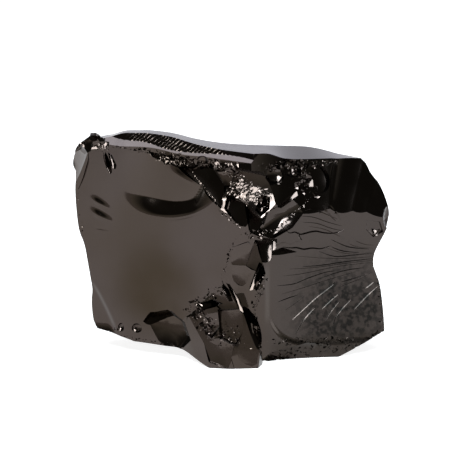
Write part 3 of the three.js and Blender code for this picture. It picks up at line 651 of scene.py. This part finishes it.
facets = table(
    "corners turn tilt hollow below front",
    # the V, from the left line to the right one
    ([(-10.6, 45.5), (-4.1, 46.5), (-1.1, 42.4), (-1.8, 37.5)], -22, 29, 0.3, 1.6),
    ([(-4.1, 46.2), (1.2, 46.4), (0.3, 42.4), (-1.8, 42.2)], -12, 6, 0.3, 2.4),
    ([(-1.3, 42.8), (1.4, 46.1), (7.3, 45.0), (12.4, 43.0), (14.3, 40.6), (11.7, 37.5), (7.3, 35.0),
      (3.9, 38.1), (0.0, 39.2)], 2, 18, 0.5, 2.2),
    ([(-2.0, 40.1), (-0.2, 40.3), (-0.4, 36.3), (-2.2, 37.1)], -3, 30, 0.3, 1.0),
    ([(0.3, 39.8), (4.1, 38.2), (7.5, 34.9), (5.5, 32.4), (2.1, 33.8), (-0.4, 37.1)], -26, 30, 0.15, 1.5),
    ([(4.1, 37.6), (7.3, 35.1), (9.6, 37.0), (9.1, 31.6), (7.3, 30.8), (5.0, 32.4)], 16, 28, 0.2, 1.8),
    ([(11.6, 37.6), (15.2, 40.4), (17.7, 39.2), (17.2, 36.0), (14.4, 32.7), (10.3, 31.1), (7.8, 32.5),
      (9.1, 36.4)], 2, 10, 1.1, 1.5),
    ([(11.0, 37.7), (15.4, 40.6), (16.1, 39.9), (11.9, 36.9)], 0, 30, 0.1, 1.5),
    ([(6.2, 37.3), (7.3, 40.1), (9.1, 39.7), (8.9, 37.4), (7.3, 36.1)], -3, 29, 0.5, 2.9),
    ([(9.0, 45.8), (10.4, 45.9), (12.0, 45.2), (12.2, 43.9), (11.3, 42.8), (9.6, 42.9), (8.6, 44.3)],
      8, 15, 0.3, 2.6),
    # the top left corner
    ([(-34.4, 52.3), (-32.2, 52.5), (-29.5, 52.3), (-28.3, 51.5), (-30.3, 51.2), (-32.7, 51.0),
      (-34.4, 51.0)], -14, 40, 0.1, 0.35),
    ([(-37.4, 46.7), (-35.1, 49.1), (-33.0, 48.5), (-33.2, 46.0), (-34.2, 42.6), (-35.5, 39.1),
      (-37.0, 39.0), (-36.9, 44.3)], -58, 15, 0.4, 0.4),
    ([(-35.2, 50.4), (-33.7, 51.7), (-32.2, 50.9), (-32.5, 48.9), (-33.7, 48.1), (-34.9, 48.8)],
      -18, 28, 0.4, 0.9),
    ([(-32.4, 51.4), (-30.8, 51.7), (-30.0, 50.6), (-30.8, 49.3), (-32.5, 49.2)], 8, -4, 0.5, 0.5),
    ([(-29.7, 50.6), (-28.8, 51.3), (-28.0, 51.1), (-28.2, 50.1), (-29.2, 49.3)], -3, 31, 0.15, 0.5),
    ([(-28.1, 48.3), (-27.3, 47.8), (-26.3, 45.8), (-26.6, 43.7), (-27.2, 44.3), (-27.7, 46.4)],
      -4, 30, 0.2, 0.35),
    # the strip below the ledge and its glints
    ([(-18.0, 49.1), (-13.3, 48.5), (-12.9, 46.4), (-15.2, 46.8), (-17.5, 48.1)], -24, 28, 0.1, 0.3),
    ([(-13.8, 48.5), (-8.7, 47.9), (-8.7, 45.7), (-11.0, 45.4), (-13.8, 46.8)], -24, 27, 0.1, 0.4),
    ([(-9.1, 48.0), (-3.6, 47.5), (-3.6, 46.3), (-9.2, 45.7)], -22, 28, 0.1, 0.4),
    ([(-15.5, 47.4), (-14.0, 47.8), (-13.3, 46.8), (-14.8, 46.4)], -3, 31, 0.2, 0.8),
    ([(-13.2, 47.4), (-11.9, 47.6), (-11.8, 46.5), (-13.0, 46.3)], -4, 30, 0.2, 1.0),
    ([(-13.6, 48.6), (-11.5, 48.5), (-11.9, 47.8), (-13.3, 47.9)], -3, 31, 0.15, 0.5),
    # the neck
    ([(0.7, 28.4), (4.3, 29.8), (5.5, 28.6), (4.1, 23.9), (2.1, 23.4), (-0.7, 24.0)], -14, 3, 0.3, 0.5),
    ([(5.9, 29.5), (7.8, 25.0), (6.4, 22.8), (3.9, 24.2)], 6, 10, 0.1, 0.7),
    ([(6.4, 29.7), (9.8, 29.0), (9.6, 25.6), (8.9, 24.5), (7.5, 25.1)], 14, 32, 0.3, 1.5),
    ([(8.0, 30.4), (10.7, 29.9), (10.8, 27.5), (9.6, 27.3), (9.4, 29.1), (7.5, 29.2)], -2, 32, 0.2, 1.3),
    ([(-0.7, 24.3), (4.1, 24.2), (6.4, 22.8), (4.8, 18.8), (2.1, 19.8), (-1.3, 22.0)], -10, 4, 0.1, 0.6),
    ([(7.5, 23.7), (8.0, 21.8), (5.7, 16.6), (5.0, 18.1), (6.4, 21.4)], 34, 24, 0.1, 1.3),
    ([(6.6, 24.1), (7.3, 23.8), (6.4, 20.7), (5.0, 16.7), (4.1, 17.2), (5.3, 20.8)], -4, 30, 0.1, 1.2),
    ([(-0.3, 19.2), (0.4, 19.0), (2.4, 16.0), (3.3, 13.1), (2.5, 13.6), (1.3, 16.2)], -4, 30, 0.1, 0.9),
    ([(-1.3, 19.4), (-0.2, 18.3), (0.9, 15.8), (0.0, 15.7), (-1.1, 17.5)], -30, 34, 0.1, 0.9),
    # the foot
    ([(-9.9, 11.7), (-7.3, 14.0), (-4.3, 15.5), (-2.3, 14.7), (-5.5, 13.4), (-7.6, 11.6), (-7.5, 8.7)],
      -28, 36, 0.2, 0, -14.4),
    ([(-6.1, 12.2), (-2.3, 13.3), (-2.0, 10.3), (-3.9, 7.7), (-6.2, 9.8)], -24, 3, 0.3, 0, -17.6),
    ([(-2.0, 13.2), (3.9, 14.2), (3.4, 9.1), (1.4, 6.2), (-1.6, 7.3)], -22, 10, 0.2, 0, -18.6),
    ([(-7.1, 9.3), (-3.8, 7.0), (-0.4, 7.5), (1.4, 6.4), (0.7, 2.7), (-0.4, 0.5), (-4.3, 2.0)],
      -18, 7, 0.3, 0, -19.7),
    ([(3.9, 11.0), (6.2, 7.6), (8.0, 3.1), (5.7, -0.3), (1.4, -0.2), (0.5, 2.9), (1.2, 5.7), (2.5, 6.8)],
      6, 6, -0.5, 0, -20.2),
    ([(5.7, 3.9), (8.2, 3.8), (8.7, -1.0), (5.5, -0.3)], 42, 4, 0.2, 0, -19.9),
    ([(3.2, 13.9), (4.6, 13.1), (6.4, 10.5), (7.1, 7.6), (8.2, 4.6), (8.4, 2.8), (7.3, 2.9), (5.9, 5.7),
      (4.8, 9.0)], 30, 34, 0.1, 0, -17.6),
    ([(-4.3, 17.9), (-0.9, 19.2), (3.0, 14.6), (-1.3, 13.4), (-3.2, 15.2)], -16, 8, 0.2, 0, -17.3),
    # the lower edge of the left face
    ([(-20.3, 8.2), (-18.2, 10.6), (-14.4, 11.2), (-11.1, 9.2), (-9.9, 6.0), (-12.1, 3.1), (-17.3, 3.0)],
      -14, 12, 0.5, 0.6),
    ([(-19.9, 8.5), (-18.0, 10.6), (-13.9, 11.3), (-11.6, 9.4), (-15.1, 8.5), (-18.0, 6.5)],
      -28, 34, 0.3, 0.7),
    # the right edge
    ([(32.0, 33.1), (34.9, 32.4), (35.6, 30.2), (33.5, 29.1), (31.8, 30.9)], 28, -4, 0.3, 0.5),
    ([(33.2, 30.8), (34.7, 30.4), (34.5, 29.2), (33.5, 29.3)], -3, 30, 0.1, 0.8),
    # a feathered chip beside the neck
    ([(9.4, 27.1), (12.1, 27.8), (15.4, 26.6), (12.6, 26.3), (10.3, 25.5)], 25, 34, 0.1, 0.3),
)
stone = cut(stone, [flake(**blow) for blow in blows])
stone = cut(stone, [facet(**row) for row in facets])
print("after", len(blows) + len(facets), "blows:", len(stone.data.polygons), "faces")

# %% [markdown]
# ## Hackles, ledges and scratches
# The right face broke towards the left, and thin torn lines fan out over it, up to a jagged ledge. Fine
# ripples lie below the dark facet and a thin line runs up it. The scratches are later marks. The lines of a
# group share a width, a depth and how far the bottom of the groove leans to one side.

# %% The lines on the faces
line_groups = [
    # hackles that fan out from the right
    dict(width=0.42, depth=0.13, lean=0.0, paths=[
        [(16.9, 22.9), (21.4, 22.9), (26.8, 23.3), (33.4, 23.6)],
        [(11.0, 18.9), (14.9, 19.0), (18.3, 20.1), (22.4, 21.1), (24.6, 21.2)],
        [(20.1, 19.4), (24.6, 20.7), (28.0, 21.3), (31.4, 21.5)],
        [(26.0, 18.4), (28.7, 19.0), (32.2, 19.9)],
        [(11.2, 15.0), (13.4, 15.7), (15.7, 16.2)],
        [(20.7, 26.3), (23.8, 25.0), (25.7, 24.7), (29.0, 24.8), (33.4, 24.9)],
        [(22.9, 27.8), (24.5, 26.8), (26.8, 25.9), (30.2, 25.3)],
        [(23.6, 29.0), (26.8, 27.3), (29.1, 26.6), (32.6, 26.0)],
    ]),
    # fine ripples below the dark facet
    dict(width=0.3, depth=0.07, lean=0.0, paths=[
        [(16.2, 35.2), (19.5, 34.7), (22.8, 33.3), (26.1, 32.1)],
        [(17.4, 36.2), (19.7, 36.5), (22.5, 35.2), (24.9, 33.9)],
        [(16.7, 33.7), (20.2, 33.2), (23.5, 31.8), (26.5, 30.9)],
        [(23.2, 37.4), (24.8, 35.5), (25.8, 33.6)],
        [(21.8, 37.3), (23.0, 35.4), (24.6, 33.4)],
    ]),
    # the jagged ledge and the line below it
    dict(width=0.4, depth=0.2, lean=0.05, paths=[
        [(13.0, 31.9), (13.9, 31.3), (15.1, 31.4), (16.3, 30.8), (17.4, 30.9), (19.0, 31.2),
         (20.2, 31.2), (21.6, 30.8), (23.3, 30.5), (24.9, 30.6), (26.3, 31.2)],
        [(15.8, 31.4), (16.1, 30.2), (16.7, 29.4)],
        [(12.3, 28.1), (14.0, 27.7), (15.6, 27.6), (17.2, 27.1), (19.1, 27.2), (21.2, 26.9),
         (23.3, 27.4)],
    ]),
    # faint hackles between the others
    dict(width=0.3, depth=0.05, lean=0.0, paths=[
        [(13.8, 22.6), (20.3, 22.5), (26.9, 22.9), (33.6, 23.2)],
        [(12.4, 21.1), (17.3, 21.3), (25.5, 22.3), (33.6, 22.7)],
        [(12.2, 16.8), (17.3, 17.9), (23.2, 19.3), (29.3, 20.6)],
        [(15.1, 25.7), (21.9, 24.6), (27.8, 24.1), (33.5, 24.1)],
        [(21.9, 27.3), (25.5, 25.8), (29.3, 25.0), (33.5, 25.2)],
        [(25.4, 29.7), (28.0, 27.6), (30.6, 26.6), (33.5, 26.2)],
        [(26.5, 31.1), (29.2, 28.5), (31.6, 27.3), (33.7, 26.9)],
        [(18.3, 32.6), (22.1, 31.6), (25.6, 29.7), (28.3, 27.8)],
        [(24.6, 16.8), (27.9, 18.0), (30.8, 19.0), (33.4, 20.3)],
        [(12.9, 12.9), (15.2, 14.3), (17.5, 15.8)],
    ]),
    # a thin line up the dark facet
    dict(width=0.45, depth=0.2, lean=0.0, paths=[
        [(24.2, 46.7), (23.7, 44.3), (23.4, 41.5), (23.0, 38.3)],
    ]),
    # bright scratches
    dict(width=0.45, depth=0.15, lean=0.1, paths=[
        [(14.6, 10.4), (17.0, 12.4), (20.1, 15.0), (23.7, 17.5), (24.6, 18.5)],
        [(15.4, 7.0), (17.4, 10.2), (18.8, 11.7), (19.7, 12.6)],
        [(21.5, 12.2), (23.3, 13.8), (25.3, 15.4)],
        [(22.4, 9.3), (23.8, 11.5), (25.8, 13.9)],
        [(24.2, 8.3), (24.9, 10.0), (26.3, 11.8), (28.3, 13.8)],
        [(29.2, 11.5), (32.2, 14.5), (34.7, 16.7)],
        [(31.9, 16.4), (33.8, 17.8)],
    ]),
    # dark lines beside the corner flake and in the foot
    dict(width=0.35, depth=0.18, lean=0.0, paths=[
        [(-33.0, 48.5), (-33.0, 46.8), (-33.6, 44.6), (-34.3, 42.3), (-35.5, 39.4)],
        [(-9.0, 10.6), (-7.1, 7.2), (-4.1, 3.0)],
    ]),
]
grooves = [groove(path, group["width"], group["depth"], group["lean"])
           for group in line_groups for path in group["paths"]]
stone = cut(stone, grooves)
print("after", len(grooves), "grooves:", len(stone.data.polygons), "faces")


# %% [markdown]
# ## Crushed chips
# Where breaks meet, the glassy stone crushed, and about two thousand tiny bites are missing. Each is a
# small random tool: either the low side of a large ball, which leaves a shallow hollow, or an angular lump.
# A ray dropped on the stone from the front finds the surface, so a bite always takes a little of it. The
# random numbers come from a simple seeded rule and are the same on every run.

# %% Dice and small tools
DICE_STEP, DICE_SHIFT, DICE_SIDES = 1664525, 1013904223, 2 ** 32


def dice(seed):
    state = seed

    def roll(low=0.0, high=1.0):
        nonlocal state
        state = (state * DICE_STEP + DICE_SHIFT) % DICE_SIDES
        return low + (high - low) * state / DICE_SIDES
    return roll


def ball(subdivisions):
    shape = bmesh.new()
    bmesh.ops.create_icosphere(shape, subdivisions=subdivisions, radius=1)
    shape.verts.ensure_lookup_table()
    points = np.array([v.co[:] for v in shape.verts])
    faces = [[v.index for v in face.verts] for face in shape.faces]
    shape.free()
    return points, faces


ROUND = ball(2)
SHARD_CORNERS = 9
GLINT = facing(-4, 31)  # the way a chip faces when it mirrors the key light to the front


def dish(at, out, size, roll, glint):
    """A shallow hollow: the low side of a large ball that stands outside the stone."""
    points, faces = ROUND
    large = size * roll(0.8, 1.7)
    middle = Vector(at) + out * large * (1 - roll(0.04, 0.1 + 0.1 * glint))
    return tool_object(np.array(middle) + points * large, faces)


def shard(at, out, size, roll, glint):
    """An angular lump: the hull of a few points thrown round a ball."""
    middle = Vector(at) + out * size * roll(0.0, 0.5) * (1 - 0.8 * glint)
    corners = []
    for _ in range(SHARD_CORNERS):
        corner = Vector((roll(-1, 1), roll(-1, 1), roll(-1, 1))).normalized()
        corner -= GLINT * corner.dot(GLINT) * 0.95 * glint  # squashed flat
        corners.append(middle + corner * size * roll(0.8, 1.2))
    return hull(corners)


# %% [markdown]
# A row of chips runs along a line on the front, and a row that is seen from above gives its own direction
# to drop the ray along. Small chips far outnumber the large ones, as in any crushed edge. The share of
# dishes says how many are shallow hollows, and the rest are angular. A row with a glint squashes its lumps
# flat, so that the breaks they leave mirror the key light, as the brightest clusters do.

# %% Rows of chips
def surface_of(stone):
    return BVHTree.FromPolygons([v.co / MM for v in stone.data.vertices],
                                [p.vertices for p in stone.data.polygons])


def chips(surface, start, end, spread, size, count, seed, glint=0.0, along=(0, 1, 0), dishes=0.45):
    """The tools for one row. Each starts near the line, spread round it, and sits where its ray hits."""
    roll = dice(seed)
    tools = []
    for k in range(count):
        at = Vector(start).lerp(Vector(end), (k + roll()) / count)
        at += Vector((roll(-0.5, 0.5), roll(-0.5, 0.5), roll(-0.5, 0.5))) * spread
        hit, out, _, _ = surface.ray_cast(at - FAR * Vector(along), Vector(along))
        big = size * (0.25 + 0.75 * roll() ** 2.2)
        kind = dish if roll() < dishes else shard
        if hit:
            tools.append(kind(hit, out, big, roll, glint))
    return tools


surface = surface_of(stone)
rows = table(
    "start end spread size count seed glint dishes along",
    # the front edge of the ledge, which grows coarser towards the middle
    ((-27.4, 0, 50.2), (-20.8, 0, 49.9), 0.5, 0.4, 40, 2),
    ((-21.5, 0, 49.8), (-14.9, 0, 48.7), 1.1, 0.8, 70, 3, 0.5, 0.2),
    ((-15, 0, 48.3), (-9, 0, 47.2), 2.4, 1.1, 90, 4, 0.5, 0.2),
    ((-9.3, 0, 47.2), (-3.6, 0, 46.9), 2.4, 1.2, 80, 5, 0.3, 0.15),
    ((-4, 0, 47), (2.4, 0, 46.4), 2.2, 1.3, 70, 6, 0.6, 0.1),
    ((-16.5, 0, 47.8), (-10, 0, 46.8), 1.4, 0.7, 50, 15, 0.95, 0),
    ((-3.6, 0, 46.8), (0.6, 0, 45.6), 1.2, 1.0, 24, 16, 0.95, 0),
    # the crushed middle of the broken corner
    ((0.8, 0, 43.6), (8, 0, 39), 4.4, 1.4, 100, 7, 0.85, 0.2),
    ((1, 0, 43), (8, 0, 38.6), 4.2, 0.75, 160, 8, 0.85, 0.3),
    ((7, 0, 46.8), (18.5, 0, 46), 2.2, 1.2, 80, 9, 0.4, 0.3),
    ((15, 0, 46), (19, 0, 41), 3.6, 1.3, 120, 11, 0.3),
    ((19, 0, 46.4), (25, 0, 46.2), 1, 0.8, 30, 12, 0.4),
    # both edges of the spine
    ((-10, 0, 46.6), (-2, 0, 37.4), 0.35, 0.4, 70, 14, 0.6),
    ((-2.4, 0, 37.2), (2.4, 0, 33.2), 0.8, 0.6, 50, 13, 0.6),
    ((18.8, 0, 39.4), (10.6, 0, 31.6), 0.7, 0.6, 60, 17, 0.4),
    ((3.4, 0, 31.8), (9, 0, 31.2), 1.4, 0.9, 50, 19, 0.4),
    ((1.4, 0, 31), (-1.8, 0, 20), 0.6, 0.5, 40, 21),
    ((-10, 0, 12.6), (-1.2, 0, 19), 2.0, 1.0, 80, 23, 0.2),
    ((8.2, 0, 21.4), (5.6, 0, 14), 1.4, 0.8, 80, 29, 0.3),
    ((-8.6, 0, 13), (-4, 0, 8.4), 3.2, 1.0, 90, 30, 0.2),
    # the notch and the foot
    ((5.6, 0, 13.6), (7.6, 0, 2), 0.7, 0.7, 46, 33),
    ((-3, 0, 10), (3, 0, 7), 4.2, 0.5, 110, 34, 0.2),
    ((-8, 0, 12), (1, 0, 6), 4, 1.0, 50, 49, 0.1, 0.1),
    # the lower edges
    ((-30, 0, 4.8), (-12, 0, 3.4), 0.9, 0.7, 60, 35),
    ((9, 0, 1.2), (30, 0, 3.4), 2.6, 0.8, 150, 31, 0.0, 0.1),
    ((10.6, 0, 5.6), (29, 0, 4), 1.5, 0.7, 110, 32, 0.0, 0.1),
    ((36, 0, 6), (29, 0, 2), 1.2, 0.9, 50, 48, 0.0, 0.1),
    ((-27.6, 0, 5.6), (-24.8, 0, 6.6), 0.8, 0.8, 12, 46, 0.0, 0),
    ((-22.4, 0, 6.8), (-21, 0, 6.2), 1.0, 0.8, 10, 47, 0.0, 0),
    # the left and right ridges
    ((-35.2, 0, 49.6), (-33.4, 0, 51.6), 0.8, 0.6, 16, 41, 0.3),
    ((-30.6, 0, 50.6), (-28.8, 0, 49), 1.6, 0.8, 26, 45, 0.9, 0.1),
    ((-33.4, 0, 14), (-35.8, 0, 40), 0.6, 0.5, 40, 42),
    ((35.8, 0, 6), (34.8, 0, 22), 0.8, 0.7, 40, 43),
    ((36, 0, 30), (33.4, 0, 30), 1.2, 0.5, 14, 44, 0.3),
    # the rear edge of the top, seen from above
    ((-24, 13.6, 50), (22, 12, 44.8), 1.6, 0.9, 60, 37, 0.0, 0.45, (0, 0, -1)),
)
bites = [tool for row in rows for tool in chips(surface, **row)]
stone = cut(stone, bites)
print("after", len(bites), "bites:", len(stone.data.polygons), "faces")


# %% [markdown]
# ## The finished mesh
# Bites that meet can cut a crumb loose, so only the largest connected part is kept. Then the stone is
# brought to the size of its solid. An edge is sharp where two different breaks meet or where the mesh turns
# hard. The rest is shaded smooth, as glass is, and so is an edge where two breaks lie almost flat against
# each other.

# %% Keep the stone, size it and mark its edges
FLAT_TURN, SHARP_TURN = math.radians(2), math.radians(28)


def finish_mesh(stone):
    shape = bmesh.new()
    shape.from_mesh(stone.data)
    unseen, parts = set(shape.verts), []
    while unseen:
        part, front = set(), [next(iter(unseen))]
        while front:
            vertex = front.pop()
            if vertex in unseen:
                unseen.discard(vertex)
                part.add(vertex)
                front.extend(edge.other_vert(vertex) for edge in vertex.link_edges)
        parts.append(part)
    parts.sort(key=len, reverse=True)
    bmesh.ops.delete(shape, geom=[v for part in parts[1:] for v in part], context="VERTS")
    low = Vector([min(v.co[k] for v in shape.verts) for k in range(3)])
    high = Vector([max(v.co[k] for v in shape.verts) for k in range(3)])
    size = [(cad_high[k] - cad_low[k]) / (high[k] - low[k]) for k in range(3)]
    print("before sizing", [round(c / MM, 1) for c in (*low, *high)], "mm")
    for v in shape.verts:
        v.co = Vector([cad_low[k] + (v.co[k] - low[k]) * size[k] for k in range(3)])
    number = shape.faces.layers.int["break_number"]
    for face in shape.faces:
        face.smooth = True
    for edge in shape.edges:
        a, b = edge.link_faces
        turn = edge.calc_face_angle(0)
        edge.smooth = turn < FLAT_TURN or (a[number] == b[number] and turn < SHARP_TURN)
    shape.to_mesh(stone.data)
    shape.free()
    return len(parts) - 1, size


crumbs, size = finish_mesh(stone)
bpy.context.scene.collection.objects.link(stone)
stone.name = stone.data.name = "shungite_stone"
triangles = sum(len(p.vertices) - 2 for p in stone.data.polygons)
print("left out", crumbs, "crumbs; sized by", [round(s, 4) for s in size], "and now", triangles, "triangles")

# %% [markdown]
# ## Shader maths as Python
# A shader is a graph of small nodes. Written as nodes it is hard to read, so this class wraps one socket
# and turns + - and * into Math nodes. Numbers alone are worked out in Python before they get there.

# %% A socket that takes part in expressions
class Term:
    def __init__(self, tree, socket):
        self.tree, self.socket = tree, socket

    def maths(self, operation, *values):
        numbered = {f"_{n}": value for n, value in enumerate(values)}
        return add_node(self.tree, "ShaderNodeMath", {"operation": operation}, **numbered)

    def __add__(self, other):
        return self.maths("ADD", self, other)

    def __radd__(self, other):
        return self.maths("ADD", other, self)

    def __sub__(self, other):
        return self.maths("SUBTRACT", self, other)

    def __rsub__(self, other):
        return self.maths("SUBTRACT", other, self)

    def __mul__(self, other):
        return self.maths("MULTIPLY", self, other)

    def __rmul__(self, other):
        return self.maths("MULTIPLY", other, self)

    def ramp(self, low, high, start=0.0, end=1.0):
        """From start at low to end at high, with a soft start and end."""
        return add_node(self.tree, "ShaderNodeMapRange", {"interpolation_type": "SMOOTHSTEP"},
                        Value=self, From_Min=low, From_Max=high, To_Min=start, To_Max=end)


def add_node(tree, kind, settings=(), outlet=0, **inputs):
    """One node. An input is named after its socket, or _0, _1 and so on after the socket's number."""
    node = tree.nodes.new(kind)
    for name, value in dict(settings).items():
        setattr(node, name, value)
    for name, value in inputs.items():
        socket = node.inputs[int(name[1:])] if name.startswith("_") else node.inputs[name.replace("_", " ")]
        if isinstance(value, Term):
            tree.links.new(value.socket, socket)
        else:
            socket.default_value = value
    return Term(tree, node.outputs[outlet]) if len(node.outputs) else node


def new_material(name):
    material = bpy.data.materials.new(name)
    material.use_nodes = True
    material.node_tree.nodes.clear()
    return material, material.node_tree


# %% [markdown]
# ## The finish of the stone
# Noble shungite mirrors like dark metal: about four per cent of the light straight on, and far more at a
# grazing angle, slightly brown. A metallic shader with a very dark base colour does exactly that. All that
# varies is painted in object coordinates: soft noise for what drifts, and a spot or a ramp for what has a
# place.

# %% Noise, spots and blends
material, tree = new_material("shungite")
place = add_node(tree, "ShaderNodeTexCoord", outlet=3)  # object coordinates, in metres
across, depth, height = (add_node(tree, "ShaderNodeSeparateXYZ", outlet=k, Vector=place) for k in range(3))


def noise(scale, detail=2.0):
    return add_node(tree, "ShaderNodeTexNoise", Vector=place, Scale=scale, Detail=detail)


def spot(middle, reach):
    """1 near the middle, falling smoothly to 0 at the reach, both in millimetres."""
    away = add_node(tree, "ShaderNodeVectorMath", {"operation": "DISTANCE"}, outlet=1,
                    _0=place, _1=[c * MM for c in middle])
    return away.ramp(reach * MM, 0.25 * reach * MM)


def blend(mask, first, second):
    """The first colour where the mask is 0 and the second where it is 1."""
    return add_node(tree, "ShaderNodeMix", {"data_type": "RGBA"}, outlet=2, _0=mask, _6=first, _7=second)


# %% [markdown]
# The tint drifts from grey to brown, with a touch of olive low on the left face, and it is more even on the
# right half. One patch of the right face is dulled by fine grains. A band along its foot is darker, which is
# painted shade for the dim floor close under the stone, and it is also duller. A thin paler line along its
# rim is a painted highlight.

# %% The colour of the mirror
GREY, BROWN, OLIVE = (0.047, 0.037, 0.033, 1), (0.041, 0.0315, 0.026, 1), (0.030, 0.022, 0.0155, 1)
RIGHT_HALF, GRAINS = (0.041, 0.034, 0.031, 1), (0.008, 0.008, 0.0075, 1)
# the first colour here is painted shade for the foot band, the second a painted highlight along the rim
FOOT_SHADE, RIM_HIGHLIGHT = (0.030, 0.024, 0.020, 1), (0.066, 0.056, 0.050, 1)
clouds = noise(45.0, 3.0).ramp(0.35, 0.65)
olive = spot((-18, -9, 16), 15) * noise(90.0).ramp(0.2, 0.6, 0.55, 1.0)
satin = spot((27, -9, 11), 19) * noise(140.0, 3.0).ramp(0.25, 0.7, 0.5, 1.0)
grain = noise(900.0, 3.0).ramp(0.4, 0.6, 0.3, 1.0)
# the band along the foot: its darker colour is painted shade near the floor, and its extra roughness makes
# it duller
band = height.ramp(6.5 * MM, 4.0 * MM) * across.ramp(8 * MM, 11 * MM)
band = band * noise(420.0, 3.0).ramp(0.3, 0.6, 0.4, 1.0)
# a painted highlight: a thin paler line where the rim of the right face catches the light
rim_highlight = across.ramp(7.7 * MM, 8.4 * MM) * across.ramp(9.4 * MM, 8.7 * MM) * height.ramp(9 * MM, 12 * MM)
rim_highlight = rim_highlight * height.ramp(25 * MM, 21 * MM) * depth.ramp(0.0, -8 * MM)
colour = blend(olive, blend(clouds, GREY, BROWN), OLIVE)
colour = blend(across.ramp(4 * MM, 12 * MM) * 0.8, colour, RIGHT_HALF)
colour = blend(satin * grain, colour, GRAINS)
colour = blend(band * 0.8, colour, FOOT_SHADE)
colour = blend(rim_highlight * 0.5, colour, RIM_HIGHLIGHT)

# %% [markdown]
# A broken face is a good mirror but not a perfect one, so it is a little rough everywhere, more so in the
# satin patch and the band. A very fine bump, a few hundredths of a millimetre, breaks up the reflections.

# %% Roughness and bump
sheen = noise(160.0).ramp(0.3, 0.7, 0.10, 0.16)
rough = sheen + satin * 0.20 + band * 0.15
fine = noise(2600.0) * 0.5 + noise(700.0, 3.0) * 0.5
bump = add_node(tree, "ShaderNodeBump", Strength=0.22, Distance=0.04 * MM, Height=fine * (1 + 4 * satin))
mirror = add_node(tree, "ShaderNodeBsdfPrincipled",
                  Base_Color=colour, Roughness=rough, Metallic=1.0, Normal=bump)
add_node(tree, "ShaderNodeOutputMaterial", Surface=mirror)
stone.data.materials.clear()
stone.data.materials.append(material)
for polygon in stone.data.polygons:
    polygon.material_index = 0
print("shungite uses", len(tree.nodes), "nodes")

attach(stone, "root")
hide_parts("stone")

# %% [markdown]
# ## Floor and surroundings
# The stone is a mirror, so what surrounds it is half of its look. The floor is pale and bright out to the
# horizon, and the faces that look level or down mirror it as brown-grey. Higher up the room falls quickly
# to dark, and the faces that lean back mirror that as black. Only behind the stone the room stays pale
# further up, and the level top mirrors it.

# %% Floor
HALF_FLOOR = 3.0
corners = [(HALF_FLOOR * x, HALF_FLOOR * y, 0) for x, y in ((-1, -1), (1, -1), (1, 1), (-1, 1))]
floor_mesh = bpy.data.meshes.new("floor")
floor_mesh.from_pydata(corners, [], [(0, 1, 2, 3)])
floor = bpy.data.objects.new("floor", floor_mesh)
bpy.context.scene.collection.objects.link(floor)
floor_material, tree = new_material("pale_floor")
white = add_node(tree, "ShaderNodeBsdfPrincipled", Base_Color=(0.5, 0.5, 0.5, 1), Roughness=0.9,
                 Emission_Color=(1, 1, 1, 1), Emission_Strength=0.85)
add_node(tree, "ShaderNodeOutputMaterial", Surface=white)
floor_mesh.materials.append(floor_material)

# %% Surroundings
world = bpy.data.worlds.new("room")
bpy.context.scene.world = world
world.use_nodes = True
tree = world.node_tree
tree.nodes.clear()
CEILING, HORIZON, WALL_BEHIND = 0.08, 0.75, 0.55  # how bright each part of the room is
LOW_TINT, HIGH_TINT, BEHIND_TINT = (1, 0.96, 0.93, 1), (1, 1, 0.86, 1), (0.93, 0.92, 1, 1)
direction = add_node(tree, "ShaderNodeTexCoord", outlet=0)
depth, height = (add_node(tree, "ShaderNodeSeparateXYZ", outlet=k, Vector=direction) for k in (1, 2))
glow = height.ramp(0.08, 0.5, 1.0, 0.0)
behind = depth.ramp(0.2, 0.6) * height.ramp(0.85, 0.5)
strength = CEILING + glow * HORIZON * (1 - behind) + behind * WALL_BEHIND
room_colour = blend(behind, blend(height.ramp(0.0, 0.25), LOW_TINT, HIGH_TINT), BEHIND_TINT)
room = add_node(tree, "ShaderNodeBackground", Color=room_colour, Strength=strength)
add_node(tree, "ShaderNodeOutputWorld", Surface=room)

# %% [markdown]
# ## Lamps
# Three small strong lamps, high and to the front, light up the crushed chips: here and there a tiny facet
# has just the slope that sends a lamp to the eye. They are a little blue, because the brown mirror warms
# whatever it shows. Two soft lamps at the sides and one high behind keep the other faces readable.

# %% Lamps
LAMP_DISTANCE = 1.2
COOL, COOL_BEHIND = (0.87, 0.95, 1), (0.88, 0.9, 1)


def look_back(thing, at, out):
    """Puts a lamp or camera at a place, looking back along the direction out."""
    thing.location = at
    thing.rotation_euler = out.to_track_quat("Z", "Y").to_euler()
    bpy.context.scene.collection.objects.link(thing)


def lamp(name, turn, tilt, size, radiance, colour=COOL):
    data = bpy.data.lights.new(name, "AREA")
    data.shape, data.size = "DISK", size
    data.energy = radiance * math.pi * math.pi * size * size / 4  # radiance, pi and the area of the disk
    data.color = colour
    out = facing(turn, tilt)
    look_back(bpy.data.objects.new(name, data), out * LAMP_DISTANCE, out)


lamp("lamp_top", -8, 74, 0.34, 36)
lamp("lamp_key", -10, 52, 0.6, 22)
lamp("lamp_spark", -2, 38, 0.2, 48)
lamp("lamp_back_left", -118, 8, 0.5, 2.6)
lamp("lamp_right", 84, 4, 0.5, 2.2)
lamp("lamp_behind", 180, 56, 0.6, 4.2, COOL_BEHIND)

# %% [markdown]
# ## Camera
# A long lens from a good distance shows the stone almost without perspective, as in a catalogue. The
# distance follows from the lens and from how much of the scene one pixel shows.

# %% Camera
ELEVATION, LENS, SENSOR = 10, 150, 36
SIDE = 465  # pixels along each side of the render
SCALE = 0.235 * MM  # metres for one pixel at the stone
TARGET = Vector((0.52, -5, 28.95)) * MM
data = bpy.data.cameras.new("camera")
data.lens, data.sensor_width = LENS, SENSOR
data.clip_start, data.clip_end = 0.01, 20
camera = bpy.data.objects.new("camera", data)
out = facing(0, ELEVATION)
look_back(camera, TARGET + out * (SCALE * SIDE * LENS / SENSOR), out)
bpy.context.scene.camera = camera
bpy.context.scene.view_settings.view_transform = "Standard"
print("the camera stands", round((camera.location - TARGET).length, 2), "m from the stone")
